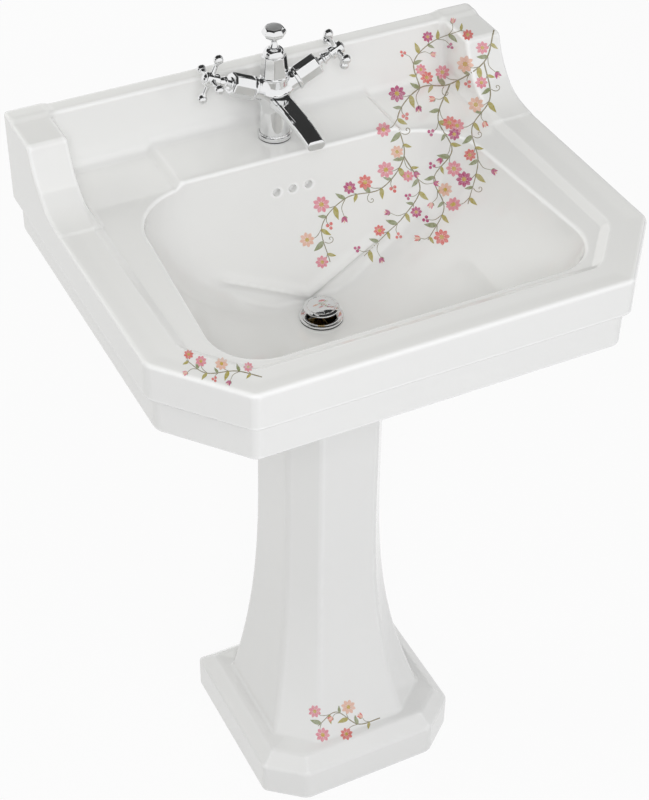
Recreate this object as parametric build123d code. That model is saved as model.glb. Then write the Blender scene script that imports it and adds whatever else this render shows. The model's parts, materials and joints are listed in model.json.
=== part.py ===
from build123d import *
import math
import os

# Pedestal sink: a wide china basin on a hollow china pedestal, with a one-hole mixer tap,
# a pop-up waste worked by the tap's lift knob, and a bottle trap inside the pedestal.
# Frame: +Z up, -Y to the front, +Y to the wall, origin on the floor under the middle.

# Basin, outside
BASIN_WIDTH = 610.0
BASIN_DEPTH = 510.0
RIM_HEIGHT = 870.0
CORNER_CUT_X = 80.0
CORNER_CUT_Y = 95.0
RIM_BAND = 47.0
SKIRT_BAND = 48.0
SKIRT_STEP = 9.0
CHINA_WALL = 12.0
DECK_THICKNESS = 16.0
RIM_ROUND = 5.0

# Rim, ledge and tap platform
RIM_SIDE_WIDTH = 48.0
RIM_FRONT_WIDTH = 44.0
LEDGE_DROP = 5.0
PLATFORM_WIDTH = 276.0
PLATFORM_SLOPE = 12.0

# Upstand along the wall, with an ear at each end
UPSTAND_RISE = 67.0
SHELF_DEPTH = 24.0
UPSTAND_FOOT_DEPTH = 34.0
UPSTAND_COVE = 14.0
EAR_TOP_DEPTH = 82.0
EAR_FOOT_DEPTH = 142.0
EAR_HOLLOW = 11.0

# Bowl
BOWL_FRONT_MARGIN = 57.0
BOWL_BACK_MARGIN = 126.0
BOWL_FRONT_WIDTH = 460.0
BOWL_BACK_WIDTH = 416.0
BOWL_DEPTH = 184.0
BOWL_FRONT_ROUND = 62.0
BOWL_BACK_ROUND = 50.0
BOWL_SCOOP_ROUND = 160.0
BOWL_BACK_LEAN = 53.0
BOWL_SHELL = 11.0
BOWL_LIP = 6.0
FLOOR_WIDTH = 80.0
FLOOR_FRONT_REACH = 38.0
FLOOR_FRONT_ROUND = 30.0
FLOOR_BACK_ROUND = 14.0
BOWL_SCOOP_POWER = 2.2
BOWL_SCOOP_EASE = 0.6
BOWL_FALL_POWER = 1.8
DRAIN_MARGIN = 2.0
CREASE_STEP = 7.0
CREASE_WIDTH = 360.0
CREASE_SIDE_DROP = 88.0
CREASE_MIDDLE_DROP = 168.0

# Overflow
OVERFLOW_HOLE = 9.5
OVERFLOW_COUNT = 3
OVERFLOW_PITCH = 21.0
OVERFLOW_DROP = 46.0
OVERFLOW_HOLE_REACH = 28.0
OVERFLOW_DUCT_WIDTH = 64.0
OVERFLOW_DUCT_GAP = 10.0
OVERFLOW_DUCT_WALL = 8.0
OVERFLOW_DUCT_TOP_DROP = 30.0

# Wall fixing holes
FIXING_HOLE = 14.0
FIXING_SPACING = 280.0
FIXING_DROP = 60.0

# Pedestal
SEAT_DROP = 240.0
FOOT_WIDTH = 285.0
FOOT_FRONT = 116.5
FOOT_BACK = 142.5
FOOT_CUT_X = 48.0
FOOT_CUT_Y = 39.0
FOOT_BAND = 50.0
FOOT_BEVEL = 16.0
FOOT_LEDGE = 15.0
FOOT_LEDGE_RISE = 3.0
SHAFT_WIDTH = 134.0
SHAFT_FRONT = 37.0
SHAFT_BACK = 95.0
SHAFT_CUT_X = 28.0
SHAFT_CUT_Y = 42.0
FLARE_TOP = 480.0
FLARE_POWER = 3.0
FLARE_STEPS = 3
PEDESTAL_WALL = 12.0

# Tap
TAP_SETBACK = 79.0
TAP_HOLE = 35.0
TAP_BASE_WIDTH = 40.5
TAP_BASE_HEIGHT = 8.0
TAP_SEAL = 1.0
NECK_FOOT_WIDTH = 36.0
NECK_WAIST_WIDTH = 34.0
NECK_WAIST_HEIGHT = 36.0
HUB_WIDTH = 38.0
HUB_HEIGHT = 57.0
COLUMN_BASE_HEIGHT = 79.0
COLUMN_BASE_WIDTH = 32.0
COLUMN_TOP_HEIGHT = 108.0
COLUMN_TOP_WIDTH = 27.0
COLUMN_CROWN_HEIGHT = 117.0
COLUMN_CROWN_WIDTH = 11.0
CROWN_BULGE = 1.5

# Spout
SPOUT_REACH = 112.0
SPOUT_ROOT_TOP = 62.0
SPOUT_ROOT_DEEP = 17.0
SPOUT_ROOT_WIDTH = 27.0
SPOUT_TIP_TOP = 53.0
SPOUT_TIP_DEEP = 11.5
SPOUT_TIP_WIDTH = 22.0
SPOUT_BEVEL = 3.0
SPOUT_DROOP_POWER = 3.0
NOZZLE_WIDTH = 15.0
NOZZLE_DEPTH = 8.0
NOZZLE_SETBACK = 11.0
NOZZLE_PROUD = 1.5
NOZZLE_WALL = 2.0
NOZZLE_VANE = 1.0

# Valves: lengths are measured from the hub's centre along each valve's axis
VALVE_RISE_ANGLE = 25.0
VALVE_ARM_WIDTH = 25.0
VALVE_ARM_LENGTH = 29.0
BONNET_COLLAR_WIDTH = 29.0
BONNET_COLLAR_LENGTH = 4.0
BONNET_WIDTH = 26.5
BONNET_END = 64.0
BONNET_DOME = 6.0
BONNET_DOME_WIDTH = 14.0
CARTRIDGE_WIDTH = 17.0
CARTRIDGE_START = 20.0
CARTRIDGE_END = 55.0
SPINDLE_WIDTH = 8.0
SPINDLE_START = 41.0
SPINDLE_END = 85.0
CROSS_SLEEVE_START = 68.0
CROSS_SLEEVE_WIDTH = 12.0
CROSS_HUB_START = 80.0
CROSS_HUB_END = 97.0
CROSS_HUB_WIDTH = 16.0
CROSS_SLEEVE_FLARE = 1.0
CROSS_FLARE_LENGTH = 3.0
CROSS_HUB_BEVEL = 2.0
CROSS_PLANE = 89.0
CROSS_RADIUS = 25.5
CROSS_ARM_WIDTH = 6.4
CROSS_ARM_TIP_WIDTH = 4.6
CROSS_BALL = 11.5
INDEX_WIDTH = 11.0
INDEX_HEIGHT = 2.5
INDEX_RECESS = 1.5

# Tap fixing under the deck: offsets are from the tap's axis
STUD_WIDTH = 8.0
STUD_OFFSET = 10.0
STUD_DEPTH = 12.0
STUD_DROP = 45.0
CLAMP_WIDTH = 46.0
CLAMP_FRONT = 22.0
CLAMP_BACK = 16.0
CLAMP_SLOT_WIDTH = 33.0
CLAMP_SLOT_START = 4.0
CLAMP_GASKET = 4.0
CLAMP_PLATE = 4.0
STUD_NUT = 13.0
STUD_NUT_HEIGHT = 8.0
INLET_WIDTH = 10.0
INLET_OFFSET_X = 10.5
INLET_OFFSET_Y = 5.5
INLET_DEPTH = 10.0
INLET_DROP = 71.0
INLET_SPREAD = 60.0
INLET_BEND = 20.0
INLET_END = 60.0

# Pop-up linkage
LIFT_ROD_WIDTH = 5.0
KNOB_WIDTH = 27.0
KNOB_TOP_WIDTH = 19.0
KNOB_HEIGHT = 18.0
KNOB_STEM_HEIGHT = 9.0
KNOB_STEM_WIDTH = 9.0
KNOB_STEM_FOOT_WIDTH = 11.0
KNOB_GAP = 1.0
KNOB_SOCKET = 12.0
KNOB_BELLY_SHARE = 0.35
KNOB_WIDEST_SHARE = 0.6
KNOB_BELLY_NIP = 2.0
KNOB_FOOT_RIM = 2.0
KNOB_FOOT_SLOPE = 3.0
KNOB_WAIST_NIP = 2.0
CLEVIS_DROP = 164.0
CLEVIS_HEIGHT = 16.0
CLEVIS_WIDTH = 12.0
CLEVIS_DEPTH = 10.0
CLEVIS_FLOOR = 2.0
STRAP_WIDTH = 10.0
STRAP_THICKNESS = 2.0
STRAP_HOLE = 6.0
STRAP_TAIL = 7.0
CLEVIS_SCREW = 4.0
CLEVIS_SCREW_HEAD = 11.0
CLEVIS_SCREW_GRIP = 5.0
PIVOT_ROD_WIDTH = 5.0
PIVOT_BALL = 12.0
PIVOT_DROP = 86.0
PIVOT_REACH = 27.0
PIVOT_TILT = 9.0
PIVOT_INNER_TAIL = 6.0
PIVOT_OUTER_TAIL = 13.0
CLIP_GAP = 7.0
CLIP_SIZE = 9.0
CLIP_THICKNESS = 1.0
CLIP_CLEARANCE = 1.0

# Waste
WASTE_HOLE = 46.0
WASTE_BOSS_WIDTH = 80.0
WASTE_BOSS_DROP = 42.0
FLANGE_WIDTH = 54.0
FLANGE_THICKNESS = 3.0
FLANGE_SEAL = 1.5
FLANGE_EDGE = 1.0
FLANGE_BEVEL = 2.5
FLANGE_DISH = 0.8
FLANGE_THROAT = 3.0
WASTE_TUBE_WIDTH = 44.0
WASTE_TUBE_BORE = 36.0
OVERFLOW_SLOT_WIDTH = 18.0
OVERFLOW_SLOT_HEIGHT = 12.0
OVERFLOW_SLOT_DROP = 9.0
WASHER_WIDTH = 66.0
WASHER_THICKNESS = 3.0
BACK_NUT = 56.0
BACK_NUT_HEIGHT = 10.0
TEE_GAP = 1.0
TEE_SOCKET_WIDTH = 51.0
TEE_SOCKET_DEPTH = 12.0
TEE_SOCKET_FLOOR = 4.0
TEE_WIDTH = 39.0
TEE_BORE = 32.0
TEE_BOTTOM_DROP = 34.0
PIVOT_BOSS_WIDTH = 22.0
PIVOT_BOSS_END = 9.0
PIVOT_PORT = 9.6
PIVOT_SEAT_START = 6.3
PIVOT_SEAT_BORE = 9.4
PIVOT_NUT = 27.0
PIVOT_NUT_START = 2.0
PIVOT_NUT_WALL = 4.0
PIVOT_NUT_HOLE = 10.6

# Plug
PLUG_WIDTH = 44.0
PLUG_EDGE = 2.0
PLUG_CROWN = 3.0
PLUG_SEAL_WIDTH = 39.0
PLUG_SEAL_BORE = 16.0
PLUG_SEAL = 2.0
PLUG_SHUT_GAP = 0.1
STEM_WIDTH = 7.0
STEM_GUIDE_WIDTH = 33.0
STEM_GUIDE_THICKNESS = 2.0
STEM_GUIDE_HEIGHT = 40.0
STEM_EYE_WIDTH = 15.0
STEM_EYE_HEIGHT = 16.0
STEM_EYE_THICKNESS = 4.0
STEM_EYE_HOLE = 6.6

# Tail pipe and bottle trap: heights are measured down from the waste tee's lower end
TAIL_WIDTH = 31.8
TAIL_WALL = 1.5
TAIL_INSERT = 14.0
TAIL_DIP = 108.0
TRAP_NUT_WIDTH = 54.0
TRAP_NUT_DROP = 3.0
TRAP_NUT_HEIGHT = 18.0
TRAP_NUT_LIP = 6.0
NUT_RIB_COUNT = 12
NUT_RIB_WIDTH = 6.0
NUT_RIB_PROUD = 1.5
TRAP_SEAL = 2.0
TRAP_COLLAR_WIDTH = 42.0
TRAP_COLLAR_HEIGHT = 16.0
TRAP_WIDTH = 72.0
TRAP_WALL = 3.0
TRAP_HEIGHT = 110.0
TRAP_SHOULDER = 8.0
TRAP_BORE = 32.0
TRAP_CUP_WIDTH = 80.0
TRAP_CUP_HEIGHT = 56.0
TRAP_CUP_OVERLAP = 22.0
TRAP_CUP_FLOOR = 4.0
TRAP_CUP_ROUND = 12.0
TRAP_CUP_LEDGE = 6.0
CUP_RIB_COUNT = 16
CUP_RIB_WIDTH = 4.0
CUP_RIB_PROUD = 1.5
CUP_BAND = 4.0
CUP_SEAL = 2.0
OUTLET_DROP = 30.0
OUTLET_SOCKET_WIDTH = 42.0
OUTLET_SOCKET_END = 62.0
OUTLET_PIPE_WIDTH = 32.0
OUTLET_PIPE_WALL = 1.5
OUTLET_INSERT = 22.0
OUTLET_INSERT_WIDTH = 30.6
OUTLET_NUT_WIDTH = 54.0
OUTLET_NUT_LENGTH = 18.0
OUTLET_NUT_LIP = 6.0
OUTLET_SEAL = 2.0

# Fits
SEAT_GAP = 0.02
RUN_GAP = 0.05

# Places that follow from the sizes
FRONT = -BASIN_DEPTH / 2
BACK = BASIN_DEPTH / 2
LEDGE_Z = RIM_HEIGHT - LEDGE_DROP
DECK_UNDER_Z = RIM_HEIGHT - DECK_THICKNESS
SKIRT_Z = RIM_HEIGHT - RIM_BAND - SKIRT_BAND
FLOOR_Z = RIM_HEIGHT - BOWL_DEPTH
SEAT_Z = RIM_HEIGHT - SEAT_DROP
BOSS_Z = FLOOR_Z - WASTE_BOSS_DROP
BOWL_FRONT = FRONT + BOWL_FRONT_MARGIN
BOWL_BACK = BACK - BOWL_BACK_MARGIN
FLOOR_BACK = BOWL_BACK - BOWL_BACK_LEAN
DRAIN_Y = FLOOR_BACK - FLANGE_WIDTH / 2 - DRAIN_MARGIN
TAP_Y = BACK - TAP_SETBACK
TAP_Z = RIM_HEIGHT + TAP_SEAL
PIVOT_Y = DRAIN_Y + PIVOT_REACH
PIVOT_Z = FLOOR_Z - PIVOT_DROP
LIFT_ARM = TAP_Y - PIVOT_Y
TILT_SIN = math.sin(math.radians(PIVOT_TILT))
TILT_COS = math.cos(math.radians(PIVOT_TILT))
LIFT_TRAVEL = 2 * LIFT_ARM * TILT_SIN
PLUG_TRAVEL = 2 * PIVOT_REACH * TILT_SIN
KNOB_Z = TAP_Z + COLUMN_CROWN_HEIGHT + KNOB_GAP + KNOB_STEM_HEIGHT
FLANGE_TOP_Z = FLOOR_Z + FLANGE_SEAL + FLANGE_THICKNESS
NUT_Z = BOSS_Z - WASHER_THICKNESS - BACK_NUT_HEIGHT
TEE_TOP_Z = NUT_Z - TEE_GAP
TUBE_END_Z = TEE_TOP_Z - TEE_SOCKET_DEPTH
TEE_END_Z = PIVOT_Z - TEE_BOTTOM_DROP
TRAP_TOP_Z = TEE_END_Z - TRAP_NUT_DROP - TRAP_NUT_LIP - TRAP_SEAL
TRAP_SHOULDER_Z = TRAP_TOP_Z - TRAP_COLLAR_HEIGHT
TRAP_END_Z = TRAP_SHOULDER_Z - TRAP_HEIGHT
OUTLET_Z = TRAP_SHOULDER_Z - OUTLET_DROP
OUTLET_SOCKET_Y = DRAIN_Y + OUTLET_SOCKET_END


def block(x0, x1, y0, y1, z0, z1):
    """A box from its low and high corners."""
    size = Box(x1 - x0, y1 - y0, z1 - z0)
    return Pos((x0 + x1) / 2, (y0 + y1) / 2, (z0 + z1) / 2) * size


def post(width, z0, z1, x=0.0, y=0.0):
    """An upright cylinder of the given diameter."""
    return Pos(x, y, (z0 + z1) / 2) * Cylinder(width / 2, z1 - z0)


def ring(width, bore, z0, z1, x=0.0, y=0.0):
    """An upright ring."""
    return post(width, z0, z1, x, y) - post(bore, z0 - 1, z1 + 1, x, y)


def face_of(start, *steps):
    """A flat face from a start point: a step is a point, or a (middle, end) pair for an arc."""
    edges = []
    at = start
    for step in steps:
        curved = isinstance(step[0], tuple)
        end = step[1] if curved else step
        edges.append(ThreePointArc(at, step[0], end) if curved else Line(at, end))
        at = end
    edges.append(Line(at, start))
    return make_face(edges)


def turned(start, *steps):
    """A solid of revolution about Z from an outline of (radius, height) points."""
    return revolve(Plane.XZ * face_of(start, *steps), Axis.Z)


def dome(half_width, z, rise):
    """The arc of a dome from its edge up to the axis, as a (middle, end) step."""
    radius = (half_width**2 + rise**2) / (2 * rise)
    middle_z = z + rise - radius + math.sqrt(radius**2 - (half_width / 2) ** 2)
    return (half_width / 2, middle_z), (0, z + rise)


def octagon(width, z):
    """A regular octagon of the given width across flats, with a flat to the front."""
    radius = width / 2 / math.cos(math.pi / 8)
    return Pos(0, 0, z) * RegularPolygon(radius, 8, rotation=22.5)


def hexagon_nut(width, bore, z0, z1):
    """A hexagon nut of the given width across flats."""
    flats = RegularPolygon(width / 2, 6, major_radius=False)
    return extrude(Pos(0, 0, z0) * flats, z1 - z0) - post(bore, z0 - 1, z1 + 1)


def cut_corner_plan(half_width, front, back, cut_x, cut_y):
    """A rectangle whose two front corners are cut off."""
    right = [(half_width - cut_x, front), (half_width, front + cut_y), (half_width, back)]
    left = [(-x, y) for x, y in reversed(right)]
    return Polygon(*right, *left, align=None)


def basin_plan(side, front, corner, back=0.0):
    """The basin's outline, moved in by a distance at the sides, front, corner cuts and back."""
    cut_length = math.hypot(CORNER_CUT_X, CORNER_CUT_Y)
    half_width = BASIN_WIDTH / 2 - side
    corner_y = FRONT + CORNER_CUT_Y + (corner * cut_length - side * CORNER_CUT_Y) / CORNER_CUT_X
    front_shift = corner * cut_length - (front - CORNER_CUT_Y) * CORNER_CUT_X
    corner_x = BASIN_WIDTH / 2 - front_shift / CORNER_CUT_Y
    cut_x = half_width - corner_x
    cut_y = corner_y - (FRONT + front)
    return cut_corner_plan(half_width, FRONT + front, BACK - back, cut_x, cut_y)


def bowl_section(t, grow=0.0):
    """The bowl's rounded outline at depth t, from 0 at the ledge to 1 at the floor."""
    scoop = 1 - (1 - t**BOWL_SCOOP_POWER) ** BOWL_SCOOP_EASE
    fall = t**BOWL_FALL_POWER
    pinch = (scoop + t * t) / 2
    front = BOWL_FRONT + scoop * (DRAIN_Y - FLOOR_FRONT_REACH - BOWL_FRONT) - grow
    back = BOWL_BACK - fall * BOWL_BACK_LEAN + grow
    half_front = (BOWL_FRONT_WIDTH + scoop * (FLOOR_WIDTH - BOWL_FRONT_WIDTH)) / 2 + grow
    half_back = (BOWL_BACK_WIDTH + pinch * (FLOOR_WIDTH - BOWL_BACK_WIDTH)) / 2 + grow
    round_front = BOWL_FRONT_ROUND + t * (FLOOR_FRONT_ROUND - BOWL_FRONT_ROUND) + grow
    round_front += BOWL_SCOOP_ROUND * t * (1 - t)
    round_back = BOWL_BACK_ROUND + t * (FLOOR_BACK_ROUND - BOWL_BACK_ROUND) + grow
    corners = [(-half_front, front), (half_front, front), (half_back, back), (-half_back, back)]
    rounds = [round_front, round_front, round_back, round_back]
    z = LEDGE_Z + t * (FLOOR_Z - grow - LEDGE_Z)
    return Pos(0, 0, z) * make_face(FilletPolyline(*corners, radius=rounds, close=True))


def bowl_solid(grow):
    """The bowl's inside, or its shell's outside when it is grown by the shell."""
    depths = [0.0, 0.2, 0.45, 0.65, 0.8, 0.92, 1.0]
    return loft([bowl_section(t, grow) for t in depths])


def bowl_cut():
    """What the bowl takes out of the china, with its eased lip and the crease above the drain."""
    mouth = bowl_section(0.0, BOWL_LIP)
    lip_depth = BOWL_LIP / (LEDGE_Z - FLOOR_Z)
    lip = loft([mouth, bowl_section(lip_depth)], ruled=True)
    above = extrude(mouth, LEDGE_DROP + 1)
    half_crease = CREASE_WIDTH / 2
    side_z = RIM_HEIGHT - CREASE_SIDE_DROP
    middle_z = RIM_HEIGHT - CREASE_MIDDLE_DROP
    below = face_of((-half_crease, FLOOR_Z), (-half_crease, side_z), (0, middle_z), (half_crease, side_z),
                    (half_crease, FLOOR_Z))
    under_crease = extrude(Plane.XZ.offset(-BACK) * below, BASIN_DEPTH)
    behind_drain = block(-half_crease, half_crease, DRAIN_Y, BACK, FLOOR_Z, RIM_HEIGHT)
    set_back = Pos(0, CREASE_STEP, 0) * bowl_solid(0.0)
    return bowl_solid(0.0) + lip + above + (set_back & under_crease & behind_drain)


def ear_face():
    """An ear's side outline: a flat top and a hollowed slope down to the rim."""
    top = (BACK - EAR_TOP_DEPTH, RIM_HEIGHT + UPSTAND_RISE)
    foot = (BACK - EAR_FOOT_DEPTH, RIM_HEIGHT)
    run = top[0] - foot[0]
    length = math.hypot(run, UPSTAND_RISE)
    middle = ((top[0] + foot[0]) / 2 + EAR_HOLLOW * UPSTAND_RISE / length,
              (top[1] + foot[1]) / 2 - EAR_HOLLOW * run / length)
    return face_of((BACK, LEDGE_Z), (BACK, top[1]), top, (middle, foot), (foot[0], LEDGE_Z))


def upstand_face():
    """The upstand's side outline: shelf, leaning front and a cove down to the deck."""
    lean_y = BACK - UPSTAND_FOOT_DEPTH
    cove_z = LEDGE_Z + UPSTAND_COVE
    bend = UPSTAND_COVE * (1 - math.sqrt(0.5))
    middle = (lean_y - bend, LEDGE_Z + bend)
    top_z = RIM_HEIGHT + UPSTAND_RISE
    return face_of((BACK, LEDGE_Z), (BACK, top_z), (BACK - SHELF_DEPTH, top_z), (lean_y, cove_z),
                   (middle, (lean_y - UPSTAND_COVE, LEDGE_Z)))


def basin_outside():
    """The rim, skirt, upstand and ears as one solid, with the sunk ledge and the tap platform."""
    band = extrude(Pos(0, 0, RIM_HEIGHT - RIM_BAND) * basin_plan(0, 0, 0), RIM_BAND)
    top_edges = band.faces().sort_by(Axis.Z)[-1].edges()
    band = fillet(top_edges.filter_by(lambda edge: edge.center().Y < BACK - 1), RIM_ROUND)
    skirt_plan = basin_plan(SKIRT_STEP, SKIRT_STEP, SKIRT_STEP)
    skirt = extrude(Pos(0, 0, SKIRT_Z) * skirt_plan, SKIRT_BAND)
    ledge_plan = basin_plan(RIM_SIDE_WIDTH, RIM_FRONT_WIDTH, RIM_FRONT_WIDTH, SHELF_DEPTH)
    ledge = extrude(Pos(0, 0, LEDGE_Z) * ledge_plan, LEDGE_DROP + 1)
    half = PLATFORM_WIDTH / 2
    slope = PLATFORM_SLOPE
    platform_face = Polygon((-half - slope, LEDGE_Z), (half + slope, LEDGE_Z), (half, RIM_HEIGHT),
                            (-half, RIM_HEIGHT), align=None)
    platform_start = BOWL_BACK - BOWL_LIP
    platform = extrude(Plane.XZ.offset(-BACK) * platform_face, BACK - platform_start)
    half_inside = BASIN_WIDTH / 2 - RIM_SIDE_WIDTH
    upstand = extrude(Plane.YZ.offset(-half_inside) * upstand_face(), 2 * half_inside)
    ears = [extrude(Plane.YZ.offset(x) * ear_face(), RIM_SIDE_WIDTH)
            for x in (-BASIN_WIDTH / 2, half_inside)]
    return band + skirt - ledge + platform + upstand + ears[0] + ears[1]


def pedestal_plan(z, inset=0.0, back=None):
    """The shaft's outline at a height: it flares out towards the foot."""
    flare_base = FOOT_BAND + FOOT_BEVEL + FOOT_LEDGE_RISE
    share = max(0.0, (FLARE_TOP - z) / (FLARE_TOP - flare_base)) ** FLARE_POWER
    step = FOOT_BEVEL + FOOT_LEDGE
    half_width = SHAFT_WIDTH / 2 + share * (FOOT_WIDTH / 2 - step - SHAFT_WIDTH / 2) - inset
    front = -SHAFT_FRONT - share * (FOOT_FRONT - step - SHAFT_FRONT) + inset
    cut_x = SHAFT_CUT_X + share * (FOOT_CUT_X - SHAFT_CUT_X) - inset / 2
    cut_y = SHAFT_CUT_Y + share * (FOOT_CUT_Y - SHAFT_CUT_Y) - inset / 2
    end = SHAFT_BACK if back is None else back
    return Pos(0, 0, z) * cut_corner_plan(half_width, front, end, cut_x, cut_y)


def foot_plan(z, inset, back=0.0):
    """The foot's outline, moved in by a distance, and by another at the back."""
    return Pos(0, 0, z) * cut_corner_plan(FOOT_WIDTH / 2 - inset, inset - FOOT_FRONT,
                                          FOOT_BACK - back, FOOT_CUT_X, FOOT_CUT_Y)


def seat_plan(z):
    """The wall of the pedestal's open-backed top, where the basin rests on it."""
    return pedestal_plan(z) - pedestal_plan(z, PEDESTAL_WALL, SHAFT_BACK + 1)


def overflow_duct():
    """The china duct behind the bowl that leads the overflow down to the waste, and its passage."""
    half = OVERFLOW_DUCT_WIDTH / 2
    wall = OVERFLOW_DUCT_WALL
    back = BOWL_BACK + OVERFLOW_DUCT_WALL + OVERFLOW_DUCT_GAP
    top = RIM_HEIGHT - OVERFLOW_DUCT_TOP_DROP
    slot_top = FLOOR_Z - OVERFLOW_SLOT_DROP
    slot_low = slot_top - OVERFLOW_SLOT_HEIGHT
    outside = block(-half, half, back - OVERFLOW_DUCT_GAP - wall, back + wall, BOSS_Z, top)
    outside += block(-half, half, DRAIN_Y, back + wall, BOSS_Z, FLOOR_Z)
    upright = block(wall - half, half - wall, back - OVERFLOW_DUCT_GAP, back, slot_low, top - wall)
    level = block(wall - half, half - wall, DRAIN_Y, back, slot_low, slot_top)
    return outside, upright + level


def make_basin():
    """The china basin: bowl, skirt, deck and upstand, with its holes."""
    outside = basin_outside()
    inset = SKIRT_STEP + CHINA_WALL
    cavity_plan = basin_plan(inset, inset, inset, CHINA_WALL)
    cavity = extrude(Pos(0, 0, SKIRT_Z - 1) * cavity_plan, DECK_UNDER_Z - SKIRT_Z + 1)
    duct, passage = overflow_duct()
    seat = extrude(seat_plan(SEAT_Z), SKIRT_Z - SEAT_Z)
    boss = post(WASTE_BOSS_WIDTH, BOSS_Z, FLOOR_Z, y=DRAIN_Y)
    basin = outside - cavity + bowl_solid(BOWL_SHELL) + duct + boss + seat - bowl_cut()
    basin -= passage
    hole_z = RIM_HEIGHT - OVERFLOW_DROP
    first = -OVERFLOW_PITCH * (OVERFLOW_COUNT - 1) / 2
    reach = BOWL_BACK + OVERFLOW_DUCT_WALL + OVERFLOW_DUCT_GAP / 2
    for index in range(OVERFLOW_COUNT):
        hole = post(OVERFLOW_HOLE, -OVERFLOW_HOLE_REACH, 0)
        basin -= Pos(first + index * OVERFLOW_PITCH, reach, hole_z) * Rot(-90, 0, 0) * hole
    basin -= post(WASTE_HOLE, BOSS_Z - 1, FLOOR_Z + 1, y=DRAIN_Y)
    basin -= post(TAP_HOLE, DECK_UNDER_Z - 1, RIM_HEIGHT + 1, y=TAP_Y)
    for side in (-1, 1):
        place = Pos(side * FIXING_SPACING / 2, BACK - CHINA_WALL / 2, RIM_HEIGHT - FIXING_DROP)
        basin -= place * Rot(90, 0, 0) * Cylinder(FIXING_HOLE / 2, 2 * CHINA_WALL)
    return basin


def make_pedestal():
    """The hollow china pedestal: foot, flared shaft with cut corners, open back."""
    bevel_z = FOOT_BAND + FOOT_BEVEL
    ledge_z = bevel_z + FOOT_LEDGE_RISE
    foot = extrude(foot_plan(0, 0), FOOT_BAND)
    bevel = loft([foot_plan(FOOT_BAND, 0), foot_plan(bevel_z, FOOT_BEVEL, FOOT_BEVEL)], ruled=True)
    ledge = loft([foot_plan(bevel_z, FOOT_BEVEL, FOOT_BEVEL), pedestal_plan(ledge_z)], ruled=True)
    heights = [ledge_z + (FLARE_TOP - ledge_z) * k / FLARE_STEPS for k in range(FLARE_STEPS + 1)]
    flare = loft([pedestal_plan(z) for z in heights])
    shaft = extrude(pedestal_plan(FLARE_TOP), SEAT_Z - FLARE_TOP)
    past_back = FOOT_BACK + 1
    hollow = loft([pedestal_plan(z, PEDESTAL_WALL, past_back) for z in heights])
    hollow += extrude(pedestal_plan(FLARE_TOP, PEDESTAL_WALL, past_back), SEAT_Z - FLARE_TOP + 1)
    under = extrude(foot_plan(-1, PEDESTAL_WALL, PEDESTAL_WALL), FOOT_BAND + 1)
    neck = extrude(pedestal_plan(ledge_z, PEDESTAL_WALL), FOOT_BAND - ledge_z - 1)
    return foot + bevel + ledge + flare + shaft - hollow - under - neck


def valve_place(side):
    """The frame of a valve: Z runs out along its axis, X lies upright and Y across the tap."""
    angle = math.radians(VALVE_RISE_ANGLE)
    out = (side * math.cos(angle), 0, math.sin(angle))
    up = (-side * math.sin(angle), 0, math.cos(angle))
    return Plane((0, TAP_Y, TAP_Z + HUB_HEIGHT), x_dir=up, z_dir=out).location


def make_tap_body():
    """The tap's neck and hub, with an arm for each valve and bores for what goes into it."""
    foot = NECK_FOOT_WIDTH / 2
    waist = NECK_WAIST_WIDTH / 2
    hub = HUB_WIDTH / 2
    lower_mid = (waist + (foot - waist) * 0.25, (TAP_BASE_HEIGHT + NECK_WAIST_HEIGHT) / 2)
    neck = turned((0, 0), (foot, 0), (foot, TAP_BASE_HEIGHT), (lower_mid, (waist, NECK_WAIST_HEIGHT)),
                  (waist, HUB_HEIGHT), (0, HUB_HEIGHT))
    ball = Pos(0, 0, HUB_HEIGHT) * Sphere(hub)
    seat = post(COLUMN_BASE_WIDTH, HUB_HEIGHT, COLUMN_BASE_HEIGHT)
    body = Pos(0, TAP_Y, TAP_Z) * (neck + ball + seat)
    for side in (-1, 1):
        body += valve_place(side) * post(VALVE_ARM_WIDTH, 0, VALVE_ARM_LENGTH)
    for side in (-1, 1):
        socket = post(CARTRIDGE_WIDTH + 2 * SEAT_GAP, CARTRIDGE_START, VALVE_ARM_LENGTH + 1)
        body -= valve_place(side) * socket
        inlet = post(INLET_WIDTH + 2 * SEAT_GAP, -1, INLET_DEPTH, side * INLET_OFFSET_X, INLET_OFFSET_Y)
        body -= Pos(0, TAP_Y, TAP_Z) * inlet
    stud = post(STUD_WIDTH + 2 * SEAT_GAP, -1, STUD_DEPTH, 0, -STUD_OFFSET)
    guide = post(LIFT_ROD_WIDTH + 2 * RUN_GAP, -1, COLUMN_BASE_HEIGHT + 1)
    return body - Pos(0, TAP_Y, TAP_Z) * (stud + guide)


def make_tap_base_ring():
    """The moulded ring round the foot of the neck."""
    inner = NECK_FOOT_WIDTH / 2 + SEAT_GAP
    outer = TAP_BASE_WIDTH / 2
    lip = TAP_BASE_HEIGHT * 0.6
    shape = turned((inner, 0), (outer, 0), (outer, lip), (inner + 1, TAP_BASE_HEIGHT),
                   (inner, TAP_BASE_HEIGHT))
    return Pos(0, TAP_Y, TAP_Z) * shape


def make_tap_base_seal():
    """The flat rubber ring under the tap."""
    return ring(TAP_BASE_WIDTH - 1, TAP_HOLE, RIM_HEIGHT, TAP_Z, y=TAP_Y)


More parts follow.
